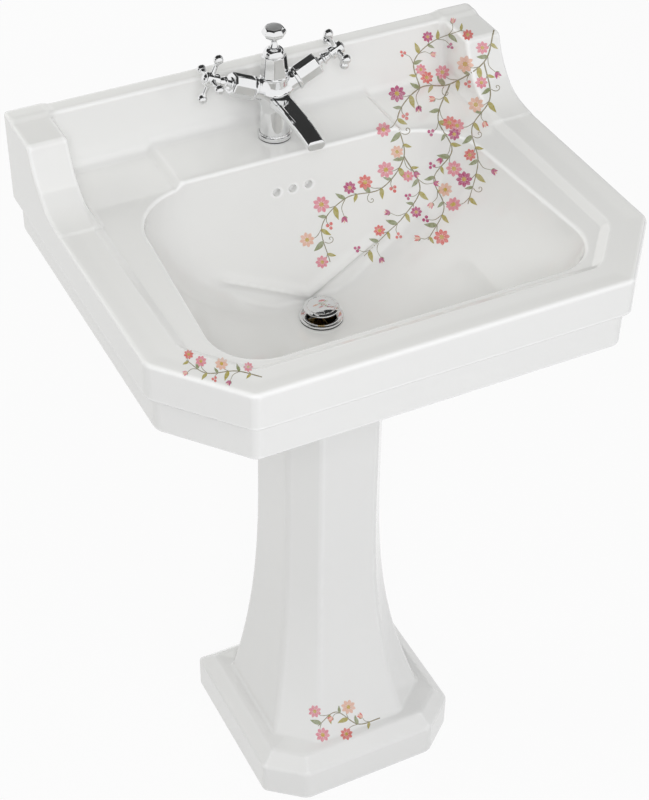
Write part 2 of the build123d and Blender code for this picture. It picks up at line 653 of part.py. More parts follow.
def make_tap_column():
    """The eight-sided column with its turned crown, which guides the lift rod."""
    sides = loft([octagon(COLUMN_BASE_WIDTH, COLUMN_BASE_HEIGHT),
                  octagon(COLUMN_TOP_WIDTH, COLUMN_TOP_HEIGHT)], ruled=True)
    wide = COLUMN_TOP_WIDTH / 2
    narrow = COLUMN_CROWN_WIDTH / 2
    middle = ((wide + narrow) / 2 + CROWN_BULGE, (COLUMN_TOP_HEIGHT + COLUMN_CROWN_HEIGHT) / 2)
    crown = turned((0, COLUMN_TOP_HEIGHT), (wide, COLUMN_TOP_HEIGHT),
                   (middle, (narrow, COLUMN_CROWN_HEIGHT)), (0, COLUMN_CROWN_HEIGHT))
    guide = post(LIFT_ROD_WIDTH + 2 * RUN_GAP, COLUMN_BASE_HEIGHT - 1, COLUMN_CROWN_HEIGHT + 1)
    return Pos(0, TAP_Y, TAP_Z) * (sides + crown - guide)


def spout_levels(share):
    """The spout's top and underside, from its level root in the hub to its drooping tip."""
    top = SPOUT_ROOT_TOP + share**SPOUT_DROOP_POWER * (SPOUT_TIP_TOP - SPOUT_ROOT_TOP)
    deep = SPOUT_TIP_DEEP + (SPOUT_ROOT_DEEP - SPOUT_TIP_DEEP) * (1 - share) ** 2
    return top, top - deep


def spout_section(share):
    """The spout's bevelled section."""
    top, low = spout_levels(share)
    half = (SPOUT_ROOT_WIDTH + share * (SPOUT_TIP_WIDTH - SPOUT_ROOT_WIDTH)) / 2
    bevel = SPOUT_BEVEL
    shape = Polygon((-half + bevel, low), (half - bevel, low), (half, low + bevel), (half, top - bevel),
                    (half - bevel, top), (-half + bevel, top), (-half, top - bevel), (-half, low + bevel),
                    align=None)
    return Pos(0, TAP_Y - share * SPOUT_REACH, TAP_Z) * (Plane.XZ * shape)


def make_spout(tap_body):
    """The flat-topped spout, seated on the hub, with a socket for its nozzle."""
    bar = loft([spout_section(share) for share in (0.0, 0.3, 0.6, 0.8, 1.0)])
    socket = post(NOZZLE_WIDTH + 2 * SEAT_GAP, nozzle_z() - 5, nozzle_z() + NOZZLE_DEPTH, 0, nozzle_y())
    hub = Pos(0, TAP_Y, TAP_Z + HUB_HEIGHT) * Sphere(HUB_WIDTH / 2)
    behind = block(-SPOUT_ROOT_WIDTH, SPOUT_ROOT_WIDTH, TAP_Y - 1, TAP_Y + 1, TAP_Z, TAP_Z + 2 * HUB_HEIGHT)
    spout = bar - behind - hub - tap_body - socket
    return spout.solids().sort_by(SortBy.VOLUME)[-1]


def nozzle_y():
    """Where the nozzle's axis is, from front to back."""
    return TAP_Y - SPOUT_REACH + NOZZLE_SETBACK


def nozzle_z():
    """The height of the spout's underside at the nozzle."""
    return TAP_Z + spout_levels(1 - NOZZLE_SETBACK / SPOUT_REACH)[1]


def make_spout_nozzle():
    """The flow straightener under the spout's tip."""
    low = nozzle_z() - NOZZLE_PROUD
    bore = NOZZLE_WIDTH - 2 * NOZZLE_WALL
    shell = ring(NOZZLE_WIDTH, bore, low, nozzle_z() + NOZZLE_DEPTH, y=nozzle_y())
    half = NOZZLE_WIDTH / 2 - NOZZLE_WALL / 2
    thin = NOZZLE_VANE / 2
    for angle in (0, 60, 120):
        vane = block(-half, half, -thin, thin, low + NOZZLE_VANE, nozzle_z() + NOZZLE_DEPTH)
        shell += Pos(0, nozzle_y(), 0) * Rot(0, 0, angle) * vane
    return shell


def make_bonnet(side):
    """The eight-sided cover over a valve, with a round collar and a domed end."""
    collar_end = VALVE_ARM_LENGTH + BONNET_COLLAR_LENGTH
    collar = post(BONNET_COLLAR_WIDTH, VALVE_ARM_LENGTH, collar_end)
    sides = extrude(octagon(BONNET_WIDTH, collar_end), BONNET_END - BONNET_DOME - collar_end)
    wide = BONNET_WIDTH / 2
    narrow = BONNET_DOME_WIDTH / 2
    start = BONNET_END - BONNET_DOME
    middle = ((wide + narrow) / 2 + CROWN_BULGE, start + BONNET_DOME / 2)
    end = turned((0, start), (wide, start), (middle, (narrow, BONNET_END)), (0, BONNET_END))
    room = post(CARTRIDGE_WIDTH + 2 * SEAT_GAP, VALVE_ARM_LENGTH - 1, CARTRIDGE_END)
    hole = post(SPINDLE_WIDTH + 2 * RUN_GAP, CARTRIDGE_END - 1, BONNET_END + 1)
    return valve_place(side) * (collar + sides + end - room - hole)


def make_cartridge(side):
    """The brass quarter-turn cartridge that holds the spindle."""
    bore = post(SPINDLE_WIDTH + 2 * RUN_GAP, SPINDLE_START, CARTRIDGE_END + 1)
    return valve_place(side) * (post(CARTRIDGE_WIDTH, CARTRIDGE_START, CARTRIDGE_END) - bore)


def make_spindle(side):
    """The brass spindle that the crosshead turns."""
    return valve_place(side) * post(SPINDLE_WIDTH, SPINDLE_START + RUN_GAP, SPINDLE_END)


def make_crosshead(side):
    """The cross handle: a sleeve and hub with four tapered arms that end in balls."""
    sleeve = CROSS_SLEEVE_WIDTH / 2
    hub = CROSS_HUB_WIDTH / 2
    bevel = CROSS_HUB_BEVEL
    start = CROSS_SLEEVE_START
    flare = CROSS_FLARE_LENGTH
    shape = turned((0, start), (sleeve + CROSS_SLEEVE_FLARE, start), (sleeve, start + flare),
                   (sleeve, CROSS_HUB_START), (hub, CROSS_HUB_START + flare), (hub, CROSS_HUB_END - bevel),
                   (hub - bevel, CROSS_HUB_END), (0, CROSS_HUB_END))
    arm = Cone(CROSS_ARM_WIDTH / 2, CROSS_ARM_TIP_WIDTH / 2, CROSS_RADIUS,
               align=(Align.CENTER, Align.CENTER, Align.MIN))
    for quarter in range(4):
        turn = Pos(0, 0, CROSS_PLANE) * Rot(0, 0, 90 * quarter)
        shape += turn * Rot(0, 90, 0) * arm
        shape += turn * Pos(CROSS_RADIUS, 0, 0) * Sphere(CROSS_BALL / 2)
    shape -= post(SPINDLE_WIDTH + 2 * SEAT_GAP, start - 1, SPINDLE_END + SEAT_GAP)
    shape -= post(INDEX_WIDTH + 2 * SEAT_GAP, CROSS_HUB_END - INDEX_RECESS, CROSS_HUB_END + 1)
    return valve_place(side) * shape


def make_index_cap(side):
    """The plain domed cap on a crosshead."""
    half = INDEX_WIDTH / 2
    low = CROSS_HUB_END - INDEX_RECESS
    cap = turned((0, low), (half, low), (half, CROSS_HUB_END), dome(half, CROSS_HUB_END, INDEX_HEIGHT))
    return valve_place(side) * cap


def clamp_shape(z0, z1):
    """The horseshoe outline of the plate and gasket that hold the tap down."""
    plate = block(-CLAMP_WIDTH / 2, CLAMP_WIDTH / 2, -CLAMP_FRONT, CLAMP_BACK, z0, z1)
    half_slot = CLAMP_SLOT_WIDTH / 2
    slot = block(-half_slot, half_slot, -CLAMP_SLOT_START, CLAMP_BACK + 1, z0 - 1, z1 + 1)
    hole = post(STUD_WIDTH + 2 * SEAT_GAP, z0 - 1, z1 + 1, 0, -STUD_OFFSET)
    return Pos(0, TAP_Y, 0) * (plate - slot - hole)


def make_fixing_nut():
    """The nut that draws the clamp plate up."""
    top = DECK_UNDER_Z - CLAMP_GASKET - CLAMP_PLATE
    nut = hexagon_nut(STUD_NUT, STUD_WIDTH + 2 * SEAT_GAP, top - STUD_NUT_HEIGHT, top)
    return Pos(0, TAP_Y - STUD_OFFSET, 0) * nut


def make_inlet(side):
    """A bent tail whose straight end a supply pipe is joined to."""
    y = TAP_Y + INLET_OFFSET_Y
    near = side * INLET_OFFSET_X
    far = side * INLET_SPREAD
    bend_z = TAP_Z - INLET_DROP
    low_bend_z = bend_z - INLET_SPREAD + INLET_OFFSET_X
    end_z = low_bend_z - INLET_BEND * math.tan(math.pi / 8) - INLET_END
    start = (near, y, TAP_Z + INLET_DEPTH)
    route = FilletPolyline(start, (near, y, bend_z), (far, y, low_bend_z), (far, y, end_z), radius=INLET_BEND)
    return sweep(Plane(start, z_dir=(0, 0, -1)) * Circle(INLET_WIDTH / 2), route)


def make_lift_knob():
    """The eight-sided lift knob on its short flared stem."""
    high = KNOB_Z + KNOB_HEIGHT
    widest = KNOB_Z + KNOB_HEIGHT * KNOB_WIDEST_SHARE
    belly = KNOB_Z + KNOB_HEIGHT * KNOB_BELLY_SHARE
    rings = [octagon(KNOB_STEM_WIDTH, KNOB_Z), octagon(KNOB_WIDTH - KNOB_BELLY_NIP, belly),
             octagon(KNOB_WIDTH, widest), octagon(KNOB_TOP_WIDTH, high)]
    knob = loft(rings, ruled=True)
    foot_z = KNOB_Z - KNOB_STEM_HEIGHT
    waist = (KNOB_STEM_WIDTH - KNOB_WAIST_NIP) / 2
    foot = KNOB_STEM_FOOT_WIDTH / 2
    rim_z = foot_z + KNOB_FOOT_RIM
    knob += turned((0, foot_z), (foot, foot_z), (foot, rim_z), (waist, rim_z + KNOB_FOOT_SLOPE),
                   (waist, KNOB_Z), (0, KNOB_Z))
    knob -= post(LIFT_ROD_WIDTH + 2 * SEAT_GAP, foot_z - 1, KNOB_Z + KNOB_SOCKET)
    return Pos(0, TAP_Y, 0) * knob


def clevis_z():
    """The underside of the clevis block."""
    return RIM_HEIGHT - CLEVIS_DROP - CLEVIS_HEIGHT


def make_lift_rod():
    """The rod from the knob down through the tap to the clevis."""
    return post(LIFT_ROD_WIDTH, clevis_z() + CLEVIS_FLOOR, KNOB_Z + KNOB_SOCKET - SEAT_GAP, y=TAP_Y)


def make_clevis_strap():
    """The clevis block and the strap that hangs from it to the pivot rod."""
    low = clevis_z()
    eye_z = PIVOT_Z - LIFT_ARM * TILT_SIN
    half = CLEVIS_WIDTH / 2
    body = block(-half, half, -CLEVIS_DEPTH / 2, CLEVIS_DEPTH / 2, low, low + CLEVIS_HEIGHT)
    body -= post(LIFT_ROD_WIDTH + 2 * SEAT_GAP, low + CLEVIS_FLOOR - SEAT_GAP, low + CLEVIS_HEIGHT + 1)
    thread = Cylinder(CLEVIS_SCREW / 2 + SEAT_GAP, half, align=(Align.CENTER, Align.CENTER, Align.MIN))
    body -= Pos(0, 0, low + CLEVIS_HEIGHT / 2) * Rot(0, 90, 0) * thread
    strap = block(-STRAP_WIDTH / 2, STRAP_WIDTH / 2, -STRAP_THICKNESS / 2, STRAP_THICKNESS / 2,
                  eye_z - STRAP_TAIL, low)
    strap -= Pos(0, 0, eye_z) * Rot(90, 0, 0) * Cylinder(STRAP_HOLE / 2, 2 * STRAP_THICKNESS)
    return Pos(0, TAP_Y, 0) * (body + strap)


def make_clevis_screw():
    """The thumb screw that grips the lift rod in the clevis."""
    start = LIFT_ROD_WIDTH / 2 + SEAT_GAP
    half = CLEVIS_WIDTH / 2 + SEAT_GAP
    screw = post(CLEVIS_SCREW, start, half) + post(CLEVIS_SCREW_HEAD, half, half + CLEVIS_SCREW_GRIP)
    return Pos(0, TAP_Y, clevis_z() + CLEVIS_HEIGHT / 2) * Rot(0, 90, 0) * screw


def pivot_place():
    """The pivot rod's frame at rest: Z runs out along the rod, which hangs down towards the wall."""
    return Plane((0, PIVOT_Y, PIVOT_Z), x_dir=(1, 0, 0), z_dir=(0, TILT_COS, -TILT_SIN)).location


def make_pivot_rod():
    """The pivot rod with its ball."""
    inner = -(PIVOT_REACH + PIVOT_INNER_TAIL) / TILT_COS
    outer = (LIFT_ARM + PIVOT_OUTER_TAIL) / TILT_COS
    return pivot_place() * (post(PIVOT_ROD_WIDTH, inner, outer) + Sphere(PIVOT_BALL / 2))


def make_spring_clip():
    """The bent clip on the pivot rod that keeps the strap in its place."""
    middle = LIFT_ARM / TILT_COS
    half = CLIP_SIZE / 2
    side = STRAP_WIDTH / 2 + CLIP_CLEARANCE
    clip = block(side, side + CLIP_THICKNESS, -half, half, middle - CLIP_GAP, middle + CLIP_GAP)
    for start in (middle - CLIP_GAP, middle + CLIP_GAP - CLIP_THICKNESS):
        clip += block(-half, side + CLIP_THICKNESS, -half, half, start, start + CLIP_THICKNESS)
    hole = post(PIVOT_ROD_WIDTH + 2 * SEAT_GAP, middle - 2 * CLIP_GAP, middle + 2 * CLIP_GAP)
    return pivot_place() * (clip - hole)


def level_place(y, z):
    """A frame whose Z runs level towards the wall."""
    return Plane((0, y, z), x_dir=(1, 0, 0), z_dir=(0, 1, 0)).location


def make_pivot_seat():
    """The nylon ring that holds the pivot ball in its socket."""
    bore = PIVOT_SEAT_BORE
    seat = ring(PIVOT_BALL + 2 * RUN_GAP - 2 * SEAT_GAP, bore, PIVOT_SEAT_START, PIVOT_BOSS_END)
    return level_place(PIVOT_Y, PIVOT_Z) * seat


def make_pivot_nut():
    """The cap nut over the pivot's boss."""
    end = PIVOT_BOSS_END + PIVOT_NUT_WALL
    nut = hexagon_nut(PIVOT_NUT, PIVOT_NUT_HOLE, PIVOT_NUT_START, end)
    nut -= post(PIVOT_BOSS_WIDTH + 2 * SEAT_GAP, PIVOT_NUT_START - 1, PIVOT_BOSS_END)
    return level_place(PIVOT_Y, PIVOT_Z) * nut


def make_waste_flange():
    """The dished flange in the bowl with its slotted tube down through the china."""
    bore = WASTE_TUBE_BORE / 2
    tube = WASTE_TUBE_WIDTH / 2
    edge = FLANGE_WIDTH / 2
    under = FLOOR_Z + FLANGE_SEAL
    flange = turned((bore, TUBE_END_Z), (tube, TUBE_END_Z), (tube, under), (edge, under),
                    (edge, under + FLANGE_EDGE), (edge - FLANGE_BEVEL, FLANGE_TOP_Z),
                    (tube - 1, FLANGE_TOP_Z - FLANGE_DISH), (bore, FLANGE_TOP_Z - FLANGE_THROAT))
    slot_top = FLOOR_Z - OVERFLOW_SLOT_DROP
    half_slot = OVERFLOW_SLOT_WIDTH / 2
    flange -= block(-half_slot, half_slot, -tube - 1, tube + 1, slot_top - OVERFLOW_SLOT_HEIGHT, slot_top)
    return Pos(0, DRAIN_Y, 0) * flange


def make_waste_tee():
    """The waste's lower body, with a socket on top and a boss for the pivot at the back."""
    tee = post(TEE_SOCKET_WIDTH, TUBE_END_Z - TEE_SOCKET_FLOOR, TEE_TOP_Z)
    tee = Pos(0, DRAIN_Y, 0) * (tee + post(TEE_WIDTH, TEE_END_Z, TUBE_END_Z))
    place = level_place(PIVOT_Y, PIVOT_Z)
    tee += place * post(PIVOT_BOSS_WIDTH, -PIVOT_REACH, PIVOT_BOSS_END)
    tee -= post(TEE_BORE, TEE_END_Z - 1, TUBE_END_Z + 1, y=DRAIN_Y)
    tee -= post(WASTE_TUBE_WIDTH + 2 * SEAT_GAP, TUBE_END_Z, TEE_TOP_Z + 1, y=DRAIN_Y)
    tee -= place * post(PIVOT_PORT, -PIVOT_REACH, 0)
    tee -= place * post(PIVOT_BALL + 2 * RUN_GAP, 0, PIVOT_BOSS_END + 1)
    return tee - place * Sphere(PIVOT_BALL / 2 + RUN_GAP)


def plug_seal_z():
    """The underside of the plug's seal with the plug raised."""
    return FLANGE_TOP_Z + PLUG_SHUT_GAP + PLUG_TRAVEL


def make_plug_cap():
    """The domed plug."""
    low = plug_seal_z() + PLUG_SEAL
    half = PLUG_WIDTH / 2
    edge = low + PLUG_EDGE
    cap = turned((0, low), (half - 1, low), (half, low + 1), (half, edge), dome(half, edge, PLUG_CROWN))
    return Pos(0, DRAIN_Y, 0) * cap


def make_plug_stem():
    """The plug's stem: a crossed guide in the waste tube and an eye for the pivot rod."""
    top = plug_seal_z() + PLUG_SEAL
    eye_z = PIVOT_Z + PIVOT_REACH * TILT_SIN
    stem = post(STEM_WIDTH, eye_z + STEM_EYE_HEIGHT / 2 - 1, top)
    half = STEM_GUIDE_WIDTH / 2
    thin = STEM_GUIDE_THICKNESS / 2
    guide_top = FLANGE_TOP_Z - FLANGE_THICKNESS
    stem += block(-half, half, -thin, thin, guide_top - STEM_GUIDE_HEIGHT, guide_top)
    stem += block(-thin, thin, -half, half, guide_top - STEM_GUIDE_HEIGHT, guide_top)
    eye = STEM_EYE_HEIGHT / 2
    stem += block(-STEM_EYE_WIDTH / 2, STEM_EYE_WIDTH / 2, -STEM_EYE_THICKNESS / 2, STEM_EYE_THICKNESS / 2,
                  eye_z - eye, eye_z + eye)
    hole = Cylinder(STEM_EYE_HOLE / 2, 2 * STEM_EYE_THICKNESS)
    return Pos(0, DRAIN_Y, 0) * (stem - Pos(0, 0, eye_z) * Rot(90, 0, 0) * hole)


def make_tail_pipe():
    """The pipe from the waste tee down into the trap."""
    bore = TAIL_WIDTH - 2 * TAIL_WALL
    return ring(TAIL_WIDTH, bore, TEE_END_Z - TAIL_DIP, TEE_END_Z + TAIL_INSERT, y=DRAIN_Y)


def ribbed_nut(width, thread, bore, length, lip):
    """A round compression nut with grip ribs: it opens downwards and its lip is on top."""
    proud = NUT_RIB_PROUD
    half_rib = NUT_RIB_WIDTH / 2
    body = post(width - 2 * proud, 0, length)
    for index in range(NUT_RIB_COUNT):
        rib = block(width / 2 - 2 * proud, width / 2, -half_rib, half_rib, 0, length - proud)
        body += Rot(0, 0, 360 / NUT_RIB_COUNT * index) * rib
    return body - post(thread + 2 * SEAT_GAP, -1, length - lip) - post(bore, -1, length + 1)


def make_trap_nut():
    """The nut that grips the tail pipe at the trap's collar."""
    nut = ribbed_nut(TRAP_NUT_WIDTH, TRAP_COLLAR_WIDTH, TAIL_WIDTH + 2 * SEAT_GAP, TRAP_NUT_HEIGHT,
                     TRAP_NUT_LIP)
    return Pos(0, DRAIN_Y, TEE_END_Z - TRAP_NUT_DROP - TRAP_NUT_HEIGHT) * nut


def make_trap_seal():
    """The rubber ring under the trap's nut."""
    top = TRAP_TOP_Z + TRAP_SEAL
    return ring(TRAP_COLLAR_WIDTH - 1, TAIL_WIDTH + 2 * SEAT_GAP, TRAP_TOP_Z, top, y=DRAIN_Y)


def make_trap_body():
    """The bottle trap's upper body with its collar and its outlet to the wall."""
    half = TRAP_WIDTH / 2
    collar = TRAP_COLLAR_WIDTH / 2
    body = turned((0, TRAP_END_Z), (half, TRAP_END_Z), (half, TRAP_SHOULDER_Z - TRAP_SHOULDER),
                  (half - TRAP_SHOULDER, TRAP_SHOULDER_Z), (collar, TRAP_SHOULDER_Z), (collar, TRAP_TOP_Z),
                  (0, TRAP_TOP_Z))
    body = Pos(0, DRAIN_Y, 0) * body
    body += level_place(DRAIN_Y, OUTLET_Z) * post(OUTLET_SOCKET_WIDTH, 0, OUTLET_SOCKET_END)
    roof = TRAP_SHOULDER_Z - TRAP_SHOULDER
    body -= post(TRAP_WIDTH - 2 * TRAP_WALL, TRAP_END_Z - 1, roof, y=DRAIN_Y)
    body -= post(TRAP_BORE, TRAP_END_Z, TRAP_TOP_Z + 1, y=DRAIN_Y)
    return body - level_place(DRAIN_Y, OUTLET_Z) * post(TRAP_BORE, 0, OUTLET_SOCKET_END + 1)


def make_trap_cup():
    """The cup that screws on to the bottom of the trap."""
    outer = TRAP_CUP_WIDTH / 2
    thread = TRAP_WIDTH / 2 + SEAT_GAP
    inside = TRAP_WIDTH / 2 - TRAP_CUP_LEDGE
    top = TRAP_END_Z + TRAP_CUP_OVERLAP
    low = top - TRAP_CUP_HEIGHT
    seat = TRAP_END_Z - CUP_SEAL
    bend = TRAP_CUP_ROUND * (1 - math.sqrt(0.5))
    middle = (outer - bend, low + bend)
    side_z = low + TRAP_CUP_ROUND
    cup = turned((0, low), (outer - TRAP_CUP_ROUND, low), (middle, (outer, side_z)), (outer, top),
                 (thread, top), (thread, seat), (inside, seat), (inside, low + TRAP_CUP_FLOOR),
                 (0, low + TRAP_CUP_FLOOR))
    half_rib = CUP_RIB_WIDTH / 2
    for index in range(CUP_RIB_COUNT):
        rib = block(outer - 1, outer + CUP_RIB_PROUD, -half_rib, half_rib, side_z, top - CUP_BAND)
        cup += Rot(0, 0, 360 / CUP_RIB_COUNT * index) * rib
    return Pos(0, DRAIN_Y, 0) * cup


def make_cup_seal():
    """The rubber ring between the trap's body and cup."""
    return ring(TRAP_WIDTH - 1, TRAP_WIDTH - 2 * TRAP_CUP_LEDGE, TRAP_END_Z - CUP_SEAL, TRAP_END_Z, y=DRAIN_Y)


def outlet_nut_end():
    """Where the outlet nut ends, from front to back."""
    return OUTLET_SOCKET_Y + OUTLET_SEAL + OUTLET_NUT_LIP


def make_outlet_nut():
    """The nut that grips the outlet pipe."""
    bore = OUTLET_INSERT_WIDTH + 2 * SEAT_GAP
    nut = ribbed_nut(OUTLET_NUT_WIDTH, OUTLET_SOCKET_WIDTH, bore, OUTLET_NUT_LENGTH, OUTLET_NUT_LIP)
    return level_place(outlet_nut_end() - OUTLET_NUT_LENGTH, OUTLET_Z) * nut


def make_outlet_seal():
    """The rubber ring under the outlet nut."""
    seal = ring(OUTLET_SOCKET_WIDTH - 1, OUTLET_INSERT_WIDTH + 2 * SEAT_GAP, 0, OUTLET_SEAL)
    return level_place(OUTLET_SOCKET_Y, OUTLET_Z) * seal


def make_outlet_pipe():
    """The waste pipe to the wall, a little slimmer where it goes into the trap."""
    start = -OUTLET_SEAL - OUTLET_NUT_LIP - OUTLET_INSERT
    pipe = post(OUTLET_INSERT_WIDTH, start, 0) + post(OUTLET_PIPE_WIDTH, 0, BACK - outlet_nut_end())
    pipe -= post(OUTLET_PIPE_WIDTH - 2 * OUTLET_PIPE_WALL, start - 1, BACK - outlet_nut_end() + 1)
    return level_place(outlet_nut_end(), OUTLET_Z) * pipe


def make_parts():
    """Every piece of the sink by name."""
    tap_body = make_tap_body()
    gasket_z = DECK_UNDER_Z - CLAMP_GASKET
    tube = WASTE_TUBE_WIDTH + 2 * SEAT_GAP
    seal_z = plug_seal_z()
    parts = {
        "basin": make_basin(),
        "pedestal": make_pedestal(),
        "tap_body": tap_body,
        "tap_base_ring": make_tap_base_ring(),
        "tap_base_seal": make_tap_base_seal(),
        "tap_column": make_tap_column(),
        "spout": make_spout(tap_body),
        "spout_nozzle": make_spout_nozzle(),
        "fixing_stud": post(STUD_WIDTH, DECK_UNDER_Z - STUD_DROP, TAP_Z + STUD_DEPTH, y=TAP_Y - STUD_OFFSET),
        "clamp_gasket": clamp_shape(gasket_z, DECK_UNDER_Z),
        "clamp_plate": clamp_shape(gasket_z - CLAMP_PLATE, gasket_z),
        "fixing_nut": make_fixing_nut(),
        "lift_knob": make_lift_knob(),
        "lift_rod": make_lift_rod(),
        "clevis_strap": make_clevis_strap(),
        "clevis_screw": make_clevis_screw(),
        "pivot_rod": make_pivot_rod(),
        "spring_clip": make_spring_clip(),
        "pivot_seat": make_pivot_seat(),
        "pivot_nut": make_pivot_nut(),
        "waste_flange": make_waste_flange(),
        "flange_seal": ring(FLANGE_WIDTH - 1, tube, FLOOR_Z, FLOOR_Z + FLANGE_SEAL, y=DRAIN_Y),
        "waste_washer": ring(WASHER_WIDTH, tube, BOSS_Z - WASHER_THICKNESS, BOSS_Z, y=DRAIN_Y),
        "waste_back_nut": Pos(0, DRAIN_Y, 0) * hexagon_nut(BACK_NUT, tube, NUT_Z, NUT_Z + BACK_NUT_HEIGHT),
        "waste_tee": make_waste_tee(),
        "plug_cap": make_plug_cap(),
        "plug_seal": ring(PLUG_SEAL_WIDTH, PLUG_SEAL_BORE, seal_z, seal_z + PLUG_SEAL, y=DRAIN_Y),
        "plug_stem": make_plug_stem(),
        "tail_pipe": make_tail_pipe(),
        "trap_nut": make_trap_nut(),
        "trap_seal": make_trap_seal(),
        "trap_body": make_trap_body(),
        "trap_cup": make_trap_cup(),
        "cup_seal": make_cup_seal(),
        "outlet_nut": make_outlet_nut(),
        "outlet_seal": make_outlet_seal(),
        "outlet_pipe": make_outlet_pipe(),
    }
    for name, side in (("hot", -1), ("cold", 1)):
        parts[name + "_bonnet"] = make_bonnet(side)
        parts[name + "_cartridge"] = make_cartridge(side)
        parts[name + "_spindle"] = make_spindle(side)
        parts[name + "_crosshead"] = make_crosshead(side)
        parts[name + "_index_cap"] = make_index_cap(side)
        parts[name + "_inlet"] = make_inlet(side)
    return parts


os.makedirs("parts", exist_ok=True)
for node, solid in make_parts().items():
    export_step(solid, f"parts/{node}.step")
print(f"lift travel {LIFT_TRAVEL:.3f} mm, plug travel {PLUG_TRAVEL:.3f} mm, lift arm {LIFT_ARM:.3f} mm")
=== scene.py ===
import json
import math

import bpy
import numpy as np
from bpy.props import FloatProperty, FloatVectorProperty, PointerProperty
from bpy.types import Operator, Panel, PropertyGroup
from mathutils import Matrix, Vector


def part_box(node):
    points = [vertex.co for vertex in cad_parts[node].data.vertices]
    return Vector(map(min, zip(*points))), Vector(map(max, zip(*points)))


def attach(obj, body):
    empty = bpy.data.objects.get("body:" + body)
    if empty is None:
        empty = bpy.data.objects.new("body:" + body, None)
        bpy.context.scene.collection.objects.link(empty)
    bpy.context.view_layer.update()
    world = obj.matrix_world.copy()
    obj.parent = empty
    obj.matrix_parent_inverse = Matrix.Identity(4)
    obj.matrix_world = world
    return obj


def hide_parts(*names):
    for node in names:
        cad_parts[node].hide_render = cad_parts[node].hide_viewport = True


bl_info = {
    "name": "Pedestal Sink",
    "version": (1, 0, 0),
    "blender": (4, 5, 0),
    "location": "View3D > Sidebar > Sink",
    "description": "Dresses the packed pedestal sink in glazed china and chrome, and sets up its studio",
    "category": "Object",
}

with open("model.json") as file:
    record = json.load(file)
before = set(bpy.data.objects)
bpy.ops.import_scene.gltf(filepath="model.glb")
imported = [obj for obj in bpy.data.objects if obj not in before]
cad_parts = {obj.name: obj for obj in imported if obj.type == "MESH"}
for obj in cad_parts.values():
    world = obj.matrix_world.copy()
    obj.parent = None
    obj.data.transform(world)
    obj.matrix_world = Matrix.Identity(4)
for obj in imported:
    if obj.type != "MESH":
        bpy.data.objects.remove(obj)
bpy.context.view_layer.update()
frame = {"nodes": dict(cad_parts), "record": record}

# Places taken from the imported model, in millimetres, as the shapes below are worked out in them
MM = 0.001


def middle_of(node):
    """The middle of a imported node's box, in millimetres."""
    low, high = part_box(node)
    return (low + high) / 2 / MM


BASIN_LOW, BASIN_HIGH = [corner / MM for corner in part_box("basin")]
PEDESTAL_LOW, PEDESTAL_HIGH = [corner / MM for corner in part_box("pedestal")]
HALF_WIDTH = BASIN_HIGH.x
FRONT = BASIN_LOW.y
BACK = BASIN_HIGH.y
TOP = BASIN_HIGH.z
SEAT = PEDESTAL_HIGH.z
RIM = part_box("tap_base_seal")[0].z / MM
TAP_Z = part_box("tap_base_ring")[0].z / MM
TAP_Y = middle_of("tap_base_ring").y
DRAIN_Y = middle_of("plug_cap").y
FLOOR_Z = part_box("flange_seal")[0].z / MM

# Basin: outside
CORNER_CUT_X, CORNER_CUT_Y = 80.0, 95.0
EDGE_ROUND = 5.0
CHINA_WALL = 12
RIM_BAND = 47
SKIRT_DROP = 95
SKIRT_STEP = 9
SKIRT_OVERLAP = 25
UNDER_INSET = SKIRT_STEP + CHINA_WALL
DECK_THICK = 16

# Rim, ledge and tap platform
DISH_DROP, DISH_START, DISH_RUN = 1.4, 3, 22
LEDGE_SIDE, LEDGE_FRONT, LEDGE_PAST_BACK = 48, 44, 40
LEDGE_DROP, LEDGE_RUN, LEDGE_STRAIGHT, LEDGE_EASED = 5.6, 12, 0.8, 0.2
PLATFORM_HALF, PLATFORM_FRONT = 150, 104
PLATFORM_SIDE_RUN, PLATFORM_FRONT_RUN = 12, 8

# Raised back, with an ear at each end whose slope is hollowed to a radius
SHELF_DEPTH = 24
UPSTAND_RISE, UPSTAND_LEAN = 58, 10
UPSTAND_COVE = 11
EAR_WIDTH, EAR_REACH = 48, 160
EAR_HOLLOW, EAR_HOLLOW_BACK, EAR_HOLLOW_RISE = 97.4, 176.4, 24.2

# Bowl
BOWL_TOP = RIM - 5
BOWL_FRONT, BOWL_BACK = FRONT + 57, BACK - 126
FRONT_HALF, BACK_HALF, FLOOR_HALF = 230, 208, 40
FLOOR_REACH = 38
BACK_LEAN = 53
SCOOP_POWER, SCOOP_EASE, FALL_POWER = 2.2, 0.6, 1.8
FRONT_ROUND, FRONT_ROUND_LOSS, SCOOP_ROUND = 62, 32, 160
BACK_ROUND, BACK_ROUND_LOSS = 75, 61
FLOOR_ROUND = 8
BOWL_LIP = 4
SHELL_THICK, SHELL_TOP = 10, 14
CREASE_DEPTH, CREASE_RISE, CREASE_SLOPE, CREASE_RUN = 6.0, 6, 0.41, 12
CREASE_LEAD, CREASE_LIP, CREASE_LIP_RUN = 0.35, 0.42, 7
CREASE_REACH, CREASE_FADE, CREASE_BACK_RUN = 128, 40, 20

# Holes, and what stands under the bowl
OVERFLOW_RADIUS, OVERFLOW_PITCH, OVERFLOW_DROP = 4.75, 21, 46
OVERFLOW_FROM_BACK, OVERFLOW_HALF = 132, 10
DRAIN_RADIUS, DRAIN_ABOVE = 23, 20
BOSS_RADIUS, BOSS_HALF = 40, 21
TAP_HOLE, TAP_HOLE_DEPTH = 17.5, 40
WALL_HOLE, WALL_HOLE_X, WALL_HOLE_DROP, WALL_HOLE_DEPTH = 7, 140, 60, 30
DUCT_HALF, DUCT_FROM_BACK, DUCT_THICK, DUCT_MIDDLE, DUCT_TALL = 32, 113, 13, 742, 98
DUCT_LEVEL_Y, DUCT_LEVEL_LONG = 101, 54

